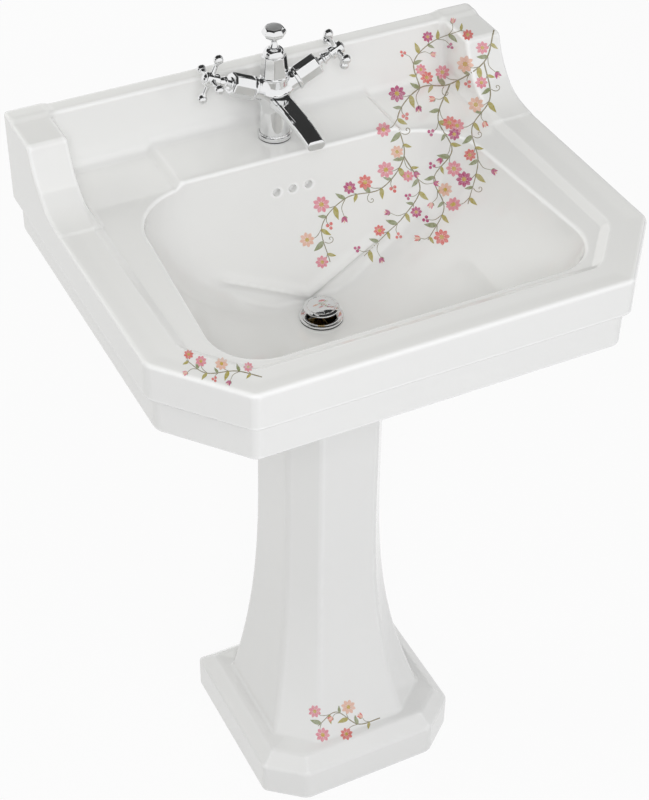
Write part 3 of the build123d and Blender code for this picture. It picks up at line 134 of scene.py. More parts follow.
# Pedestal
SHAFT_HALF, SHAFT_FRONT, SHAFT_BACK = 67, -37, 95
SHAFT_CUT_X, SHAFT_CUT_Y = 28, 42
FLARE_HALF, FLARE_FRONT = 44.5, 48.5
FLARE_TOP, FLARE_TALL, FLARE_POWER = 480, 411, 3
SHAFT_FOOT = 40
OPEN_BACK = 200
FOOT_HALF, FOOT_CUT_X, FOOT_CUT_Y = 142.5, 48, 39
FOOT_BAND, FOOT_LEDGE, FOOT_LEDGE_RISE, FOOT_LEDGE_START = 50, 68, 0.1, 18
FOOT_LEDGE_ENDS = (-6, 30)
FOOT_EDGE = 2.5
HOLLOW_FOOT, OPENING_FOOT = 45, 71

# Tap: the hub's height above the deck and the rise of the valves' axes
HUB_HEIGHT = 57
VALVE_LEAN = math.radians(25)

DIAGONAL = math.sqrt(0.5)


# Shapes are distance fields: negative inside, in millimetres, with every edge rounded as it is drawn


def soft_max(a, b, r):
    """The overlap of two fields, its edge rounded to radius r."""
    return np.minimum(np.maximum(a, b), -r) + np.hypot(np.maximum(a + r, 0), np.maximum(b + r, 0))


def soft_min(a, b, r):
    """The union of two fields, with a fillet of radius r where they meet."""
    return -soft_max(-a, -b, r)


def ease(v):
    """A smooth step from 0 to 1."""
    v = np.clip(v, 0, 1)
    return v * v * (3 - 2 * v)


def disc(out, z, radius, middle, half, edge):
    """A turned disc with eased edges."""
    return soft_max(out - radius, np.abs(z - middle) - half, edge)


def bead(out, z, radius, height, thick):
    """A bead turned round the axis."""
    return np.hypot(out - radius, z - height) - thick


def cut_corner(x, y, half, front, back, cut_x, cut_y, r):
    """A plan with its two front corners cut off."""
    side = np.abs(x) - half
    corner = (side * cut_y - (y - front - cut_y) * cut_x) / np.hypot(cut_x, cut_y)
    outline = soft_max(soft_max(side, corner, r), front - y, r)
    return soft_max(outline, y - back, min(r, EDGE_ROUND))


def basin_outline(x, y, inset, front_inset=None, back_inset=0.0):
    """The basin's plan, moved in from its edge."""
    front_in = inset if front_inset is None else front_inset
    length = math.hypot(CORNER_CUT_X, CORNER_CUT_Y)
    half = HALF_WIDTH - inset
    corner_y = FRONT + CORNER_CUT_Y + (front_in * length - inset * CORNER_CUT_Y) / CORNER_CUT_X
    corner_x = HALF_WIDTH - (front_in * length - (front_in - CORNER_CUT_Y) * CORNER_CUT_X) / CORNER_CUT_Y
    front = FRONT + front_in
    return cut_corner(x, y, half, front, BACK - back_inset, half - corner_x, corner_y - front, EDGE_ROUND)


def eight_sides(x, y):
    """The distance out across an octagon's flats."""
    ax, ay = np.abs(x), np.abs(y)
    return np.maximum(np.maximum(ax, ay), (ax + ay) * DIAGONAL)


def soft_eight(x, y, apothem, r):
    """An octagon with its corners eased."""
    ax, ay = np.abs(x) - apothem, np.abs(y) - apothem
    slant = (np.abs(x) + np.abs(y)) * DIAGONAL - apothem
    return soft_max(soft_max(ax, ay, r), slant, r)


def bowl_raw(x, y, z, crease):
    """The bowl's inside: a rounded outline that narrows with depth to the floor round the drain."""
    t = np.clip((BOWL_TOP - z) / (BOWL_TOP - FLOOR_Z), 0, 1)
    scoop = 1 - (1 - t**SCOOP_POWER) ** SCOOP_EASE
    pinch = (scoop + t * t) / 2
    front = BOWL_FRONT + scoop * (DRAIN_Y - FLOOR_REACH - BOWL_FRONT)
    back = BOWL_BACK - t**FALL_POWER * BACK_LEAN
    half_front = FRONT_HALF - scoop * (FRONT_HALF - FLOOR_HALF)
    half_back = BACK_HALF - pinch * (BACK_HALF - FLOOR_HALF)
    ax = np.abs(x)
    below = FLOOR_Z + CREASE_RISE + ax * CREASE_SLOPE - z
    lip = CREASE_LIP * crease * np.exp(-(((below + CREASE_LIP_RUN) / CREASE_LIP_RUN) ** 2))
    set_back = crease * ease(below / CREASE_RUN + CREASE_LEAD) - lip
    set_back = set_back * ease((y - DRAIN_Y) / CREASE_BACK_RUN) * ease((CREASE_REACH - ax) / CREASE_FADE)
    depth_y = y - set_back
    run = back - front
    lean = half_back - half_front
    side = ((ax - half_front) * run - (depth_y - front) * lean) / np.hypot(run, lean)
    outline = soft_max(side, front - depth_y, FRONT_ROUND - FRONT_ROUND_LOSS * t + SCOOP_ROUND * t * (1 - t))
    outline = soft_max(outline, depth_y - back, BACK_ROUND - BACK_ROUND_LOSS * t)
    return soft_max(outline, FLOOR_Z - z, FLOOR_ROUND)


def bowl_field(x, y, z):
    """The bowl with its distances evened out where its wall lies flat."""
    gap = 0.5
    above, below = (bowl_raw(x, y, z + step, CREASE_DEPTH) for step in (gap, -gap))
    steep = (above - below) / (2 * gap)
    return bowl_raw(x, y, z, CREASE_DEPTH) / np.sqrt(1 + steep * steep)


def rim_top(x, y, outer):
    """The height of the rim, with its dished band, the step to the ledge and the tap's platform."""
    step_line = basin_outline(x, y, LEDGE_SIDE, LEDGE_FRONT, -LEDGE_PAST_BACK)
    dish = DISH_DROP * ease((-outer - DISH_START) / DISH_RUN)
    fall = np.clip((LEDGE_RUN / 2 - step_line) / LEDGE_RUN, 0, 1)
    ledge = LEDGE_DROP * (LEDGE_STRAIGHT * fall + LEDGE_EASED * ease(fall))
    top = RIM - dish - ledge
    platform = ease((PLATFORM_HALF - np.abs(x)) / PLATFORM_SIDE_RUN)
    platform = platform * ease((y - PLATFORM_FRONT) / PLATFORM_FRONT_RUN)
    return top + platform * (RIM - top)


def upstand_field(x, y, z):
    """The raised back with an ear at each end."""
    leaning = -UPSTAND_RISE * (y - (BACK - SHELF_DEPTH)) + UPSTAND_LEAN * (z - TOP)
    back = soft_max(leaning / math.hypot(UPSTAND_RISE, UPSTAND_LEAN), z - TOP, r=3.5)
    slope = EAR_HOLLOW - np.hypot(y - (BACK - EAR_HOLLOW_BACK), z - (TOP + EAR_HOLLOW_RISE))
    slope = np.maximum(slope, BACK - EAR_REACH - y)
    ear = soft_max(z - TOP, slope, EDGE_ROUND)
    ear = soft_max(ear, HALF_WIDTH - EAR_WIDTH - np.abs(x), r=4)
    return soft_min(back, ear, r=8)


def pedestal_outline(x, y, share, inset, back, r):
    """The pedestal's plan, from its shaft (share 0) to where it meets the foot (share 1)."""
    half = SHAFT_HALF + share * FLARE_HALF - inset
    front = SHAFT_FRONT - share * FLARE_FRONT + inset
    cut_x = SHAFT_CUT_X + share * (FOOT_CUT_X - SHAFT_CUT_X) - inset / 2
    cut_y = SHAFT_CUT_Y - share * (SHAFT_CUT_Y - FOOT_CUT_Y) - inset / 2
    return cut_corner(x, y, half, front, back, cut_x, cut_y, r)


def basin_field(x, y, z):
    """The china basin."""
    outer = basin_outline(x, y, 0)
    top = soft_min(z - rim_top(x, y, outer), upstand_field(x, y, z), UPSTAND_COVE)
    band = soft_max(outer, top, r=4)
    band = soft_max(band, RIM - RIM_BAND - z, r=2.5)
    skirt = soft_max(basin_outline(x, y, SKIRT_STEP), RIM - SKIRT_DROP - z, r=3.5)
    body = soft_min(band, np.maximum(skirt, z - RIM + SKIRT_OVERLAP), r=2)
    under = np.maximum(basin_outline(x, y, UNDER_INSET, None, CHINA_WALL), z - RIM + DECK_THICK)
    body = soft_max(body, -under, r=3)
    bowl = bowl_field(x, y, z)
    shell = np.maximum(bowl_raw(x, y, z + CHINA_WALL, 0) - SHELL_THICK, z - RIM + SHELL_TOP)
    body = soft_min(body, shell, r=8)

    from_drain = np.hypot(x, y - DRAIN_Y)
    beside_floor = np.abs(z - FLOOR_Z + BOSS_HALF) - BOSS_HALF
    boss = np.maximum(from_drain - BOSS_RADIUS, beside_floor)
    socket = pedestal_outline(x, y, 0, CHINA_WALL, OPEN_BACK, r=5)
    seat = soft_max(pedestal_outline(x, y, 0, 0, SHAFT_BACK, r=6), -socket, r=1.5)
    seat = np.maximum(soft_max(seat, SEAT - z, r=1), z - RIM + SKIRT_DROP)
    upright = np.maximum(np.abs(y - BACK + DUCT_FROM_BACK) - DUCT_THICK, np.abs(z - DUCT_MIDDLE) - DUCT_TALL)
    level = np.maximum(np.abs(y - DUCT_LEVEL_Y) - DUCT_LEVEL_LONG, beside_floor)
    duct = soft_max(np.abs(x) - DUCT_HALF, np.minimum(upright, level), r=3)
    body = soft_min(body, np.minimum(np.minimum(boss, seat), duct), r=4)
    body = soft_max(body, -bowl, BOWL_LIP)

    nearest = np.clip(np.round(x / OVERFLOW_PITCH), -1, 1) * OVERFLOW_PITCH
    overflow = np.hypot(x - nearest, z - RIM + OVERFLOW_DROP) - OVERFLOW_RADIUS
    overflow = np.maximum(overflow, np.abs(y - BACK + OVERFLOW_FROM_BACK) - OVERFLOW_HALF)
    body = soft_max(body, -overflow, r=1.3)
    body = soft_max(body, -np.maximum(from_drain - DRAIN_RADIUS, z - FLOOR_Z - DRAIN_ABOVE), r=1.5)
    tap_hole = np.maximum(np.hypot(x, y - TAP_Y) - TAP_HOLE, RIM - TAP_HOLE_DEPTH - z)
    wall_hole = np.hypot(np.abs(x) - WALL_HOLE_X, z - RIM + WALL_HOLE_DROP) - WALL_HOLE
    wall_hole = np.maximum(wall_hole, BACK - WALL_HOLE_DEPTH - y)
    return np.maximum(soft_max(body, -np.minimum(tap_hole, wall_hole), r=1), y - BACK)


def foot_outline(x, y, inset, r):
    """The plan of the pedestal's foot, moved in from its edge."""
    front, back = PEDESTAL_LOW.y + inset, PEDESTAL_HIGH.y - inset
    return cut_corner(x, y, FOOT_HALF - inset, front, back, FOOT_CUT_X, FOOT_CUT_Y, r)


def pedestal_field(x, y, z):
    """The china pedestal: a flared shaft with cut corners on a bevelled foot, hollow and open at the back."""
    share = np.clip((FLARE_TOP - z) / FLARE_TALL, 0, 1) ** FLARE_POWER
    shaft = soft_max(pedestal_outline(x, y, share, 0, SHAFT_BACK, r=4), z - SEAT, r=1)
    shaft = np.maximum(shaft, SHAFT_FOOT - z)
    plan = foot_outline(x, y, 0, r=4)
    bevel = (plan + z - FOOT_BAND) * DIAGONAL
    ledge = z - FOOT_LEDGE - FOOT_LEDGE_RISE * np.clip(-plan - FOOT_LEDGE_START, *FOOT_LEDGE_ENDS)
    foot = soft_max(soft_max(plan, bevel, FOOT_EDGE), ledge, FOOT_EDGE)
    foot = soft_max(foot, -z, r=2)
    body = soft_min(foot, shaft, r=4)
    hollow = np.maximum(pedestal_outline(x, y, share, CHINA_WALL, SHAFT_BACK, r=5), HOLLOW_FOOT - z)
    open_back = np.maximum(pedestal_outline(x, y, share, CHINA_WALL, OPEN_BACK, r=5), OPENING_FOOT - z)
    under = np.maximum(foot_outline(x, y, CHINA_WALL, r=5), z - FOOT_BAND)
    return soft_max(body, -np.minimum(np.minimum(hollow, open_back), under), r=2)


def slope_of(field, points, gap):
    """A field's value and slope at points."""
    value = np.zeros(len(points))
    slope = np.zeros((len(points), 3))
    for way in ((1, 1, 1), (1, -1, -1), (-1, 1, -1), (-1, -1, 1)):
        way = np.array(way, float)
        at = points + gap * way
        found = field(*at.T)
        value += found / 4
        slope += found[:, None] * way / (4 * gap)
    return value, slope


SETTLE_TURNS = 3
SETTLE_REACH = 10
FLATTEST = 0.2


def settle(field, points, level, gap):
    """Points moved on to the surface where a field has the given level, and the normals there."""
    for _ in range(SETTLE_TURNS):
        value, slope = slope_of(field, points, gap)
        length = np.maximum(np.linalg.norm(slope, axis=1), FLATTEST)
        move = np.clip((value - level) / length, -SETTLE_REACH * gap, SETTLE_REACH * gap)
        points = points - (move / length)[:, None] * slope
    slope = slope_of(field, points, gap)[1]
    return points, slope / np.maximum(np.linalg.norm(slope, axis=1), 1e-9)[:, None]


SLAB = 12
MARGIN = 1.3


def field_surface(field, low, high, pitch):
    """Points, normals and four-sided faces of the surface of a field that is alike on both sides of x = 0."""
    low = np.array(low, float) - MARGIN * pitch
    count = np.ceil((np.array(high, float) + MARGIN * pitch - low) / pitch).astype(int) + 1
    count[0] += count[0] % 2
    low[0] = -pitch * (count[0] - 1) / 2
    half = count[0] // 2
    lines = [low[i] + pitch * np.arange(count[i]) for i in range(3)]
    values = np.empty(count)
    for k in range(0, count[2], SLAB):
        slab = field(*np.meshgrid(lines[0][half:], lines[1], lines[2][k : k + SLAB], indexing="ij"))
        values[half:, :, k : k + SLAB] = slab
        values[:half, :, k : k + SLAB] = slab[::-1]
    inside = values < 0
    corners = np.zeros(count - 1, np.int8)
    for i, j, k in np.ndindex(2, 2, 2):
        corners += inside[i : count[0] - 1 + i, j : count[1] - 1 + j, k : count[2] - 1 + k]
    active = (corners > 0) & (corners < 8)
    cells = np.argwhere(active)
    number = np.zeros(active.shape, int)
    number[active] = np.arange(len(cells))
    total = np.zeros((len(cells), 3))
    crossings = np.zeros((len(cells), 1))
    faces = []
    for axis in range(3):
        u, v = (axis + 1) % 3, (axis + 2) % 3
        for a, b in np.ndindex(2, 2):
            start = cells.copy()
            start[:, u] += a
            start[:, v] += b
            end = start.copy()
            end[:, axis] += 1
            here, there = values[tuple(start.T)], values[tuple(end.T)]
            crossed = ((here < 0) != (there < 0))[:, None]
            at = start.astype(float)
            at[:, axis] += here / np.where(here == there, 1, here - there)
            total += np.where(crossed, at, 0)
            crossings += crossed
        near = np.take(inside, np.arange(count[axis] - 1), axis)
        far = np.take(inside, np.arange(1, count[axis]), axis)
        edges = np.argwhere(near != far)
        within = (edges[:, u] > 0) & (edges[:, u] < count[u] - 1)
        within &= (edges[:, v] > 0) & (edges[:, v] < count[v] - 1)
        edges = edges[within]
        step_u, step_v = np.eye(3, dtype=int)[u], np.eye(3, dtype=int)[v]
        ring = [edges - step_u - step_v, edges - step_v, edges, edges - step_u]
        quads = np.stack([number[tuple(cell.T)] for cell in ring], axis=1)
        outward = near[tuple(edges.T)]
        faces.append(np.where(outward[:, None], quads, quads[:, ::-1]))
    points = low + pitch * total / crossings
    points, normals = settle(field, points, 0.0, 0.1 * pitch)
    return points, normals, np.concatenate(faces)


def place_mesh(name, points, faces, normals=None, place=None):
    """A mesh object from points in millimetres and faces of four corners."""
    points = np.asarray(points) * MM
    if place is not None:
        turn = np.array(place.to_3x3())
        points = points @ turn.T + np.array(place.translation)
        normals = None if normals is None else normals @ turn.T
    mesh = bpy.data.meshes.new(name)
    mesh.vertices.add(len(points))
    mesh.vertices.foreach_set("co", points.astype(np.float32).ravel())
    mesh.loops.add(4 * len(faces))
    mesh.loops.foreach_set("vertex_index", np.asarray(faces, np.int32).ravel())
    mesh.polygons.add(len(faces))
    mesh.polygons.foreach_set("loop_start", np.arange(0, 4 * len(faces), 4, dtype=np.int32))
    mesh.update(calc_edges=True)
    mesh.validate()
    mesh.shade_smooth()
    if normals is not None:
        mesh.normals_split_custom_set_from_vertices([tuple(n) for n in normals])
    piece = bpy.data.objects.new(name, mesh)
    bpy.context.scene.collection.objects.link(piece)
    return piece


def place_sheet(name, width, height):
    """A flat sheet, in metres, round the origin."""
    corners = np.array([(-width, -height, 0), (width, -height, 0), (width, height, 0), (-width, height, 0)])
    return place_mesh(name, corners / 2 / MM, [(0, 1, 2, 3)])


def cast(name, field, low, high, pitch, finish, body, nodes, place=None):
    """A piece with a field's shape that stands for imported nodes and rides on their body."""
    points, normals, faces = field_surface(field, low, high, pitch)
    piece = place_mesh(name, points, faces, normals, place)
    piece.data.materials.append(finish)
    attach(piece, body)
    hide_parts(*nodes)


class Wire:
    """A shader socket on which Python maths adds Math nodes."""

    def __init__(self, graph, socket):
        self.graph = graph
        self.socket = socket

    def __add__(self, other):
        return self.graph.node("ShaderNodeMath", {"operation": "ADD"}, {0: self, 1: other})

    __radd__ = __add__

    def __mul__(self, other):
        return self.graph.node("ShaderNodeMath", {"operation": "MULTIPLY"}, {0: self, 1: other})

    __rmul__ = __mul__


# The outputs that are used of nodes with more than one
OBJECT_COORDS = 3
FACE_NORMAL, POINTINESS = 1, 7
VECTOR_Z = 2
MIXED_COLOR = 2
CAMERA_RAY, GLOSSY_RAY, TRANSMISSION_RAY = 0, 3, 6


class Finish:
    """A material being made: its shader, and one way to add any node."""

    def __init__(self, name, world=None):
        self.owner = world or bpy.data.materials.new(name)
        self.owner.use_nodes = True
        self.tree = self.owner.node_tree
        self.tree.nodes.clear()

    def node(self, kind, settings=None, sockets=None, out=0):
        """A node of the given type: its settings are set first, then its sockets' values or links."""
        made = self.tree.nodes.new(kind)
        for key, value in (settings or {}).items():
            setattr(made, key, value)
        for key, value in (sockets or {}).items():
            if isinstance(value, Wire):
                self.tree.links.new(value.socket, made.inputs[key])
            else:
                made.inputs[key].default_value = value
        return Wire(self, made.outputs[out]) if made.outputs else None

    def blend(self, factor, first, second):
        """One colour mixed with another."""
        return self.node("ShaderNodeMix", {"data_type": "RGBA"}, {0: factor, 6: first, 7: second}, MIXED_COLOR)

    def noise(self, scale, detail=2.0, rough=0.5, stretch=None):
        """Plain noise over the object, scaled per metre."""
        where = self.node("ShaderNodeTexCoord", out=OBJECT_COORDS)
        if stretch:
            where = self.node("ShaderNodeVectorMath", {"operation": "MULTIPLY"}, {0: where, 1: stretch})
        sockets = {"Vector": where, "Scale": scale, "Detail": detail, "Roughness": rough}
        return self.node("ShaderNodeTexNoise", None, sockets)

    def rise(self, value, low, high):
        """A value brought from between two levels to between 0 and 1."""
        return self.node("ShaderNodeMapRange", None, {"Value": value, "From Min": low, "From Max": high})

    def bump(self, height, distance, strength):
        """A bump from a height."""
        return self.node("ShaderNodeBump", None, {"Height": height, "Distance": distance, "Strength": strength})

    def in_sight(self):
        """1 for rays that the camera sees straight, in gloss or through glass."""
        rays = [self.node("ShaderNodeLightPath", out=ray) for ray in (CAMERA_RAY, GLOSSY_RAY, TRANSMISSION_RAY)]
        return rays[0] + rays[1] + rays[2]

    def close(self, shader):
        """Ends the graph in its output."""
        place = "World" if isinstance(self.owner, bpy.types.World) else "Material"
        self.node("ShaderNodeOutput" + place, None, {0: shader})
        return self.owner

    def surface(self, **sockets):
        """Ends the graph in a principled shader, whose sockets are named with _ for each space."""
        named = {key.replace("_", " "): value for key, value in sockets.items()}
        return self.close(self.node("ShaderNodeBsdfPrincipled", None, named))


def rgba(color, share=1.0):
    """A share of a colour, with full alpha."""
    return (color[0] * share, color[1] * share, color[2] * share, 1.0)


FINISHES = {}
WHITE = (1.0, 1.0, 1.0, 1.0)
# The white of the painted highlight on the china's edges, and the pointiness over which it is mixed in
PAINTED_HIGHLIGHT_WHITE = (0.985, 0.985, 0.98, 1.0)
HIGHLIGHT_FROM, HIGHLIGHT_TO = 0.508, 0.535
GLAZE_COAT, GLAZE_COAT_ROUGH = 0.35, 0.03
SATIN_FROM, SATIN_TO = 0.9, 0.94


def china_finish(settings):
    """White glazed china: a faint cloudiness, a painted highlight that whitens its edges and ridges (standing
    partly for paler thin glaze there), and a slightly wavy clear glaze.
    """
    if "china" not in FINISHES:
        f = Finish("glazed_china")
        body = f.blend(f.noise(scale=7.0, detail=3.0), rgba(settings.glaze), rgba(settings.glaze, 0.975))
        # Pointiness mask on convex edges: a painted highlight there, partly the paler look of thin glaze
        edge = f.rise(f.node("ShaderNodeNewGeometry", out=POINTINESS), HIGHLIGHT_FROM, HIGHLIGHT_TO)
        FINISHES["china"] = f.surface(
            Base_Color=f.blend(edge, body, PAINTED_HIGHLIGHT_WHITE), Roughness=0.07 + 0.05 * f.noise(scale=40.0),
            Normal=f.bump(f.noise(scale=55.0, detail=1.0), distance=0.0004, strength=0.05), IOR=1.5,
            Coat_Weight=GLAZE_COAT, Coat_Roughness=GLAZE_COAT_ROUGH)
    return FINISHES["china"]


def plate_finish(settings, name="chrome_plate", satin=0.0):
    """Bright chrome plate with faint smears, and satin where it faces up if that is asked for."""
    if name not in FINISHES:
        f = Finish(name)
        smear = f.noise(scale=60.0, detail=4.0, rough=0.6)
        rough = 0.03 + 0.05 * smear
        if satin:
            normal = f.node("ShaderNodeNewGeometry", out=FACE_NORMAL)
            up = f.node("ShaderNodeSeparateXYZ", None, {0: normal}, VECTOR_Z)
            rough = rough + satin * f.rise(up, SATIN_FROM, SATIN_TO)
        FINISHES[name] = f.surface(
            Base_Color=f.blend(smear, rgba(settings.plate), rgba(settings.plate, 0.94)), Metallic=1.0,
            Roughness=rough, Normal=f.bump(f.noise(scale=300.0), distance=0.00004, strength=0.08))
    return FINISHES[name]


def metal_finish(name, color, rough, stretch):
    """Turned brass or brushed steel, with fine lines."""
    if name not in FINISHES:
        f = Finish(name)
        lines = f.noise(scale=900.0, stretch=stretch)
        FINISHES[name] = f.surface(
            Base_Color=f.blend(f.noise(scale=90.0, detail=3.0), rgba(color), rgba(color, 0.8)), Metallic=1.0,
            Roughness=rough + 0.15 * lines, Normal=f.bump(lines, distance=0.00005, strength=0.3))
    return FINISHES[name]


def moulded_finish(name, color, rough, grain, depth):
    """Moulded plastic or rubber with a fine grain."""
    if name not in FINISHES:
        f = Finish(name)
        speck = f.noise(grain, detail=3.0)
        FINISHES[name] = f.surface(
            Base_Color=f.blend(f.noise(scale=25.0), rgba(color), rgba(color, 0.92)),
            Roughness=rough + 0.1 * speck, Normal=f.bump(speck, depth, strength=0.4))
    return FINISHES[name]


def tap_body_field(x, y, z):
    """The tap's waisted neck and round hub with an arm out to each valve."""
    neck_radius, neck_top, flare_top, flare_tall, flare_run = 17, 60, 36, 40, 28
    hub_radius, arm_radius, arm_length = 19, 12.5, 29
    out = np.hypot(x, y)
    waist = neck_radius + (np.clip(flare_top - z, 0, flare_tall) / flare_run) ** 2
    neck = np.maximum(out - waist, np.maximum(-z, z - neck_top))
    hub = np.sqrt(x * x + y * y + (z - HUB_HEIGHT) ** 2) - hub_radius
    body = soft_min(neck, hub, r=7)
    body = soft_min(body, disc(out, z, radius=16, middle=67, half=12, edge=0.6), r=2.5)
    c, s = math.cos(VALVE_LEAN), math.sin(VALVE_LEAN)
    along = np.abs(x) * c + (z - HUB_HEIGHT) * s
    across = np.hypot(-np.abs(x) * s + (z - HUB_HEIGHT) * c, y)
    arm = soft_max(across - arm_radius, np.maximum(along - arm_length, -along), r=0.6)
    return soft_min(body, arm, r=5)


def base_ring_field(x, y, z):
    """The moulded ring at the neck's foot."""
    bore, cove_radius, cove_lean, cove_from, cove_middle, cove_half = 18.02, 19.4, 0.3, 4, 5, 3
    out = np.hypot(x, y)
    ring = disc(np.abs(out - 19.13), z, radius=1.12, middle=2.6, half=2.6, edge=0.9)
    cove = out - cove_radius + (z - cove_from) * cove_lean
    cove = soft_max(cove, np.maximum(bore - out, np.abs(z - cove_middle) - cove_half), r=0.5)
    return soft_min(ring, cove, r=0.5)


def column_field(x, y, z):
    """The eight-sided column with a bead at its foot and a turned crown."""
    foot, tall, wide, taper = 79, 29, 16, 2.5
    crown_foot, crown_tall, crown_neck, crown_swell = 108, 9, 5.5, 7.4
    crown_middle, crown_half, bore = 112, 5, 2.6
    out = np.hypot(x, y)
    sides = soft_eight(x, y, wide - taper * (z - foot) / tall, r=0.9)
    body = disc(sides, z, radius=0, middle=93.5, half=14.5, edge=0.9)
    body = soft_min(body, bead(out, z, radius=15.6, height=80.6, thick=1.6), r=0.6)
    rise = np.clip((z - crown_foot) / crown_tall, 0, 1)
    crown = out - crown_neck - crown_swell * np.sqrt(1 - rise * rise)
    crown = np.maximum(crown, np.abs(z - crown_middle) - crown_half)
    body = soft_min(body, crown, r=0.4)
    body = soft_min(body, bead(out, z, radius=6.2, height=116, thick=1.2), r=0.4)
    return np.maximum(body, bore - out)


def spout_field(x, y, z):
    """The flat-topped spout with eased bevels, shallower towards its tip."""
    length, level, droop = 112, 62, 9
    tip_deep, root_deeper, root_half, narrowing = 11.5, 5.5, 13.5, 2.5
    side_bevel, tip_bevel, root = 3.2, 2.0, 2
    hub_gap, seat_gap, seat_top = 18.6, 15.6, 80
    outlet, outlet_radius, outlet_top = 101, 7.55, 51.9
    share = np.clip(-y / length, -0.1, 1.1)
    top = level - droop * np.clip(share, 0, 1.1) ** 3
    deep = tip_deep + root_deeper * np.clip(1 - share, 0, 1) ** 2
    high = np.abs(z - top + deep / 2) - deep / 2
    wide = np.abs(x) - (root_half - narrowing * share)
    bar = soft_max(soft_max(wide, high, r=0.8), (wide + high + side_bevel) * DIAGONAL, r=1.0)
    bar = soft_max(bar, -y - length, r=1.2)
    bar = soft_max(bar, ((-y - length) + (z - top) + tip_bevel) * DIAGONAL, r=0.8)
    hub = np.sqrt(x * x + y * y + (z - HUB_HEIGHT) ** 2) - hub_gap
    bar = np.maximum(np.maximum(bar, -hub), y + root)
    bar = np.maximum(bar, -np.maximum(np.hypot(x, y) - seat_gap, z - seat_top))
    return np.maximum(bar, -np.maximum(np.hypot(x, y + outlet) - outlet_radius, z - outlet_top))


def bonnet_field(x, y, z):
    """A valve's eight-sided cover with a round collar."""
    bore, bore_middle, bore_half = 8.6, 40, 15.2
    out = np.hypot(x, y)
    collar = disc(out, z, radius=14.5, middle=31, half=2, edge=1.1)
    sides = disc(soft_eight(x, y, apothem=13.25, r=1.0), z, radius=0, middle=47, half=15, edge=2.8)
    end = disc(out, z, radius=8, middle=60, half=4, edge=1.0)
    body = soft_min(soft_min(collar, sides, r=0.6), end, r=0.8)
    return np.maximum(body, -np.maximum(out - bore, np.abs(z - bore_middle) - bore_half))


def crosshead_field(x, y, z):
    """A cross handle: beaded sleeve, hub and four tapered arms that end in balls."""
    arm_height, arm_end, arm_thick, arm_taper, arm_swell = 89, 24, 3.4, 0.05, 0.9
    swell_from, swell_rise, swell_to, swell_fall, ball_reach, ball_radius = 17, 4, 22, 2, 25.5, 5.75
    sleeve_radius, sleeve_taper, taper_from, taper_tall = 6, 0.35, 74, 4
    spindle_radius, spindle_top, cap_radius, cap_seat = 4.02, 85, 5.55, 95.5
    out = np.hypot(x, y)
    sleeve = sleeve_radius - sleeve_taper * np.clip(z - taper_from, 0, taper_tall)
    body = disc(out, z, radius=sleeve, middle=75, half=7, edge=1)
    body = soft_min(body, bead(out, z, radius=5.8, height=70.2, thick=1.6), r=0.8)
    body = soft_min(body, disc(out, z, radius=8, middle=88.5, half=8.5, edge=1.8), r=2)
    body = soft_min(body, bead(out, z, radius=6.6, height=80.4, thick=1.5), r=0.8)
    for ahead, beside in ((x, y), (y, x)):
        ahead = np.abs(ahead)
        swell = arm_swell * ease((ahead - swell_from) / swell_rise) * ease((swell_to - ahead) / swell_fall)
        thick = arm_thick - arm_taper * ahead + swell
        arm = np.maximum(np.hypot(beside, z - arm_height) - thick, ahead - arm_end)
        body = soft_min(body, arm, r=1.6)
        ball = np.sqrt((ahead - ball_reach) ** 2 + beside**2 + (z - arm_height) ** 2) - ball_radius
        body = soft_min(body, ball, r=0.8)
    spindle = np.maximum(out - spindle_radius, z - spindle_top)
    recess = np.maximum(out - cap_radius, cap_seat - z)
    return np.maximum(body, -np.minimum(spindle, recess))


def index_cap_field(x, y, z):
    """The plain domed cap in the middle of a crosshead."""
    radius, seat, dome_middle, dome_radius = 5.5, 95.5, 92.2, 7.3
    out = np.hypot(x, y)
    dome = np.sqrt(out * out + (z - dome_middle) ** 2) - dome_radius
    return soft_max(soft_max(out - radius, seat - z, r=0.3), dome, r=0.5)


def knob_field(x, y, z):
    """The faceted lift knob on its bell-shaped stem."""
    foot, top, dome, edge = 127, 145, 55, 0.8
    facets = ((4.2, foot, 1.3, 1.64), (12.4, 133, 0.25, 1.03), (13.5, 138, -0.58, 1.155))
    stem_radius, bell_swell, bell_tall, bell_power, bell_middle, bell_half = 2.9, 2.6, 9, 1.6, 123, 5
    knob_under, rod_radius, rod_top = 126, 2.52, 139
    sides = eight_sides(x, y)
    knob = None
    for wide, height, lean, evened in facets:
        facet = (sides - wide - (z - height) * lean) / evened
        knob = facet if knob is None else soft_max(knob, facet, edge)
    knob = soft_max(knob, z - top + (x * x + y * y) / dome, edge)
    out = np.hypot(x, y)
    fall = np.clip((foot - z) / bell_tall, 0, 1)
    bell = out - stem_radius - bell_swell * fall**bell_power
    bell = soft_max(bell, np.abs(z - bell_middle) - bell_half, r=0.5)
    body = soft_min(np.maximum(knob, knob_under - z), bell, r=1.0)
    return np.maximum(body, -np.maximum(out - rod_radius, z - rod_top))


def flange_field(x, y, z):
    """The dished waste flange and the top of its tube, from the bowl's floor."""
    radius, under, top, dish, dish_radius, dish_run = 27, 1.5, 4.5, 0.3, 24, 5
    tube_radius, tube_top, tube_foot = 22, 3.4, -68
    slot_half, slot_drop, slot_tall = 9, 15, 6
    throat_radius, throat_flare, throat_from, throat_tall = 18, 0.9, 1.2, 4
    out = np.hypot(x, y)
    plate = np.maximum(under - z, z - top + np.clip(dish_radius - out, 0, dish_run) * dish)
    plate = soft_max(out - radius, plate, r=0.9)
    lip = bead(out, z, radius=25, height=3.4, thick=1.2)
    tube = np.maximum(out - tube_radius, np.maximum(z - tube_top, tube_foot - z))
    slot = np.maximum(np.abs(x) - slot_half, np.abs(z + slot_drop) - slot_tall)
    body = soft_min(soft_min(plate, lip, r=0.5), tube, r=0.5)
    throat = throat_radius + throat_flare * np.clip(z - throat_from, 0, throat_tall)
    return np.maximum(np.maximum(body, throat - out), -slot)


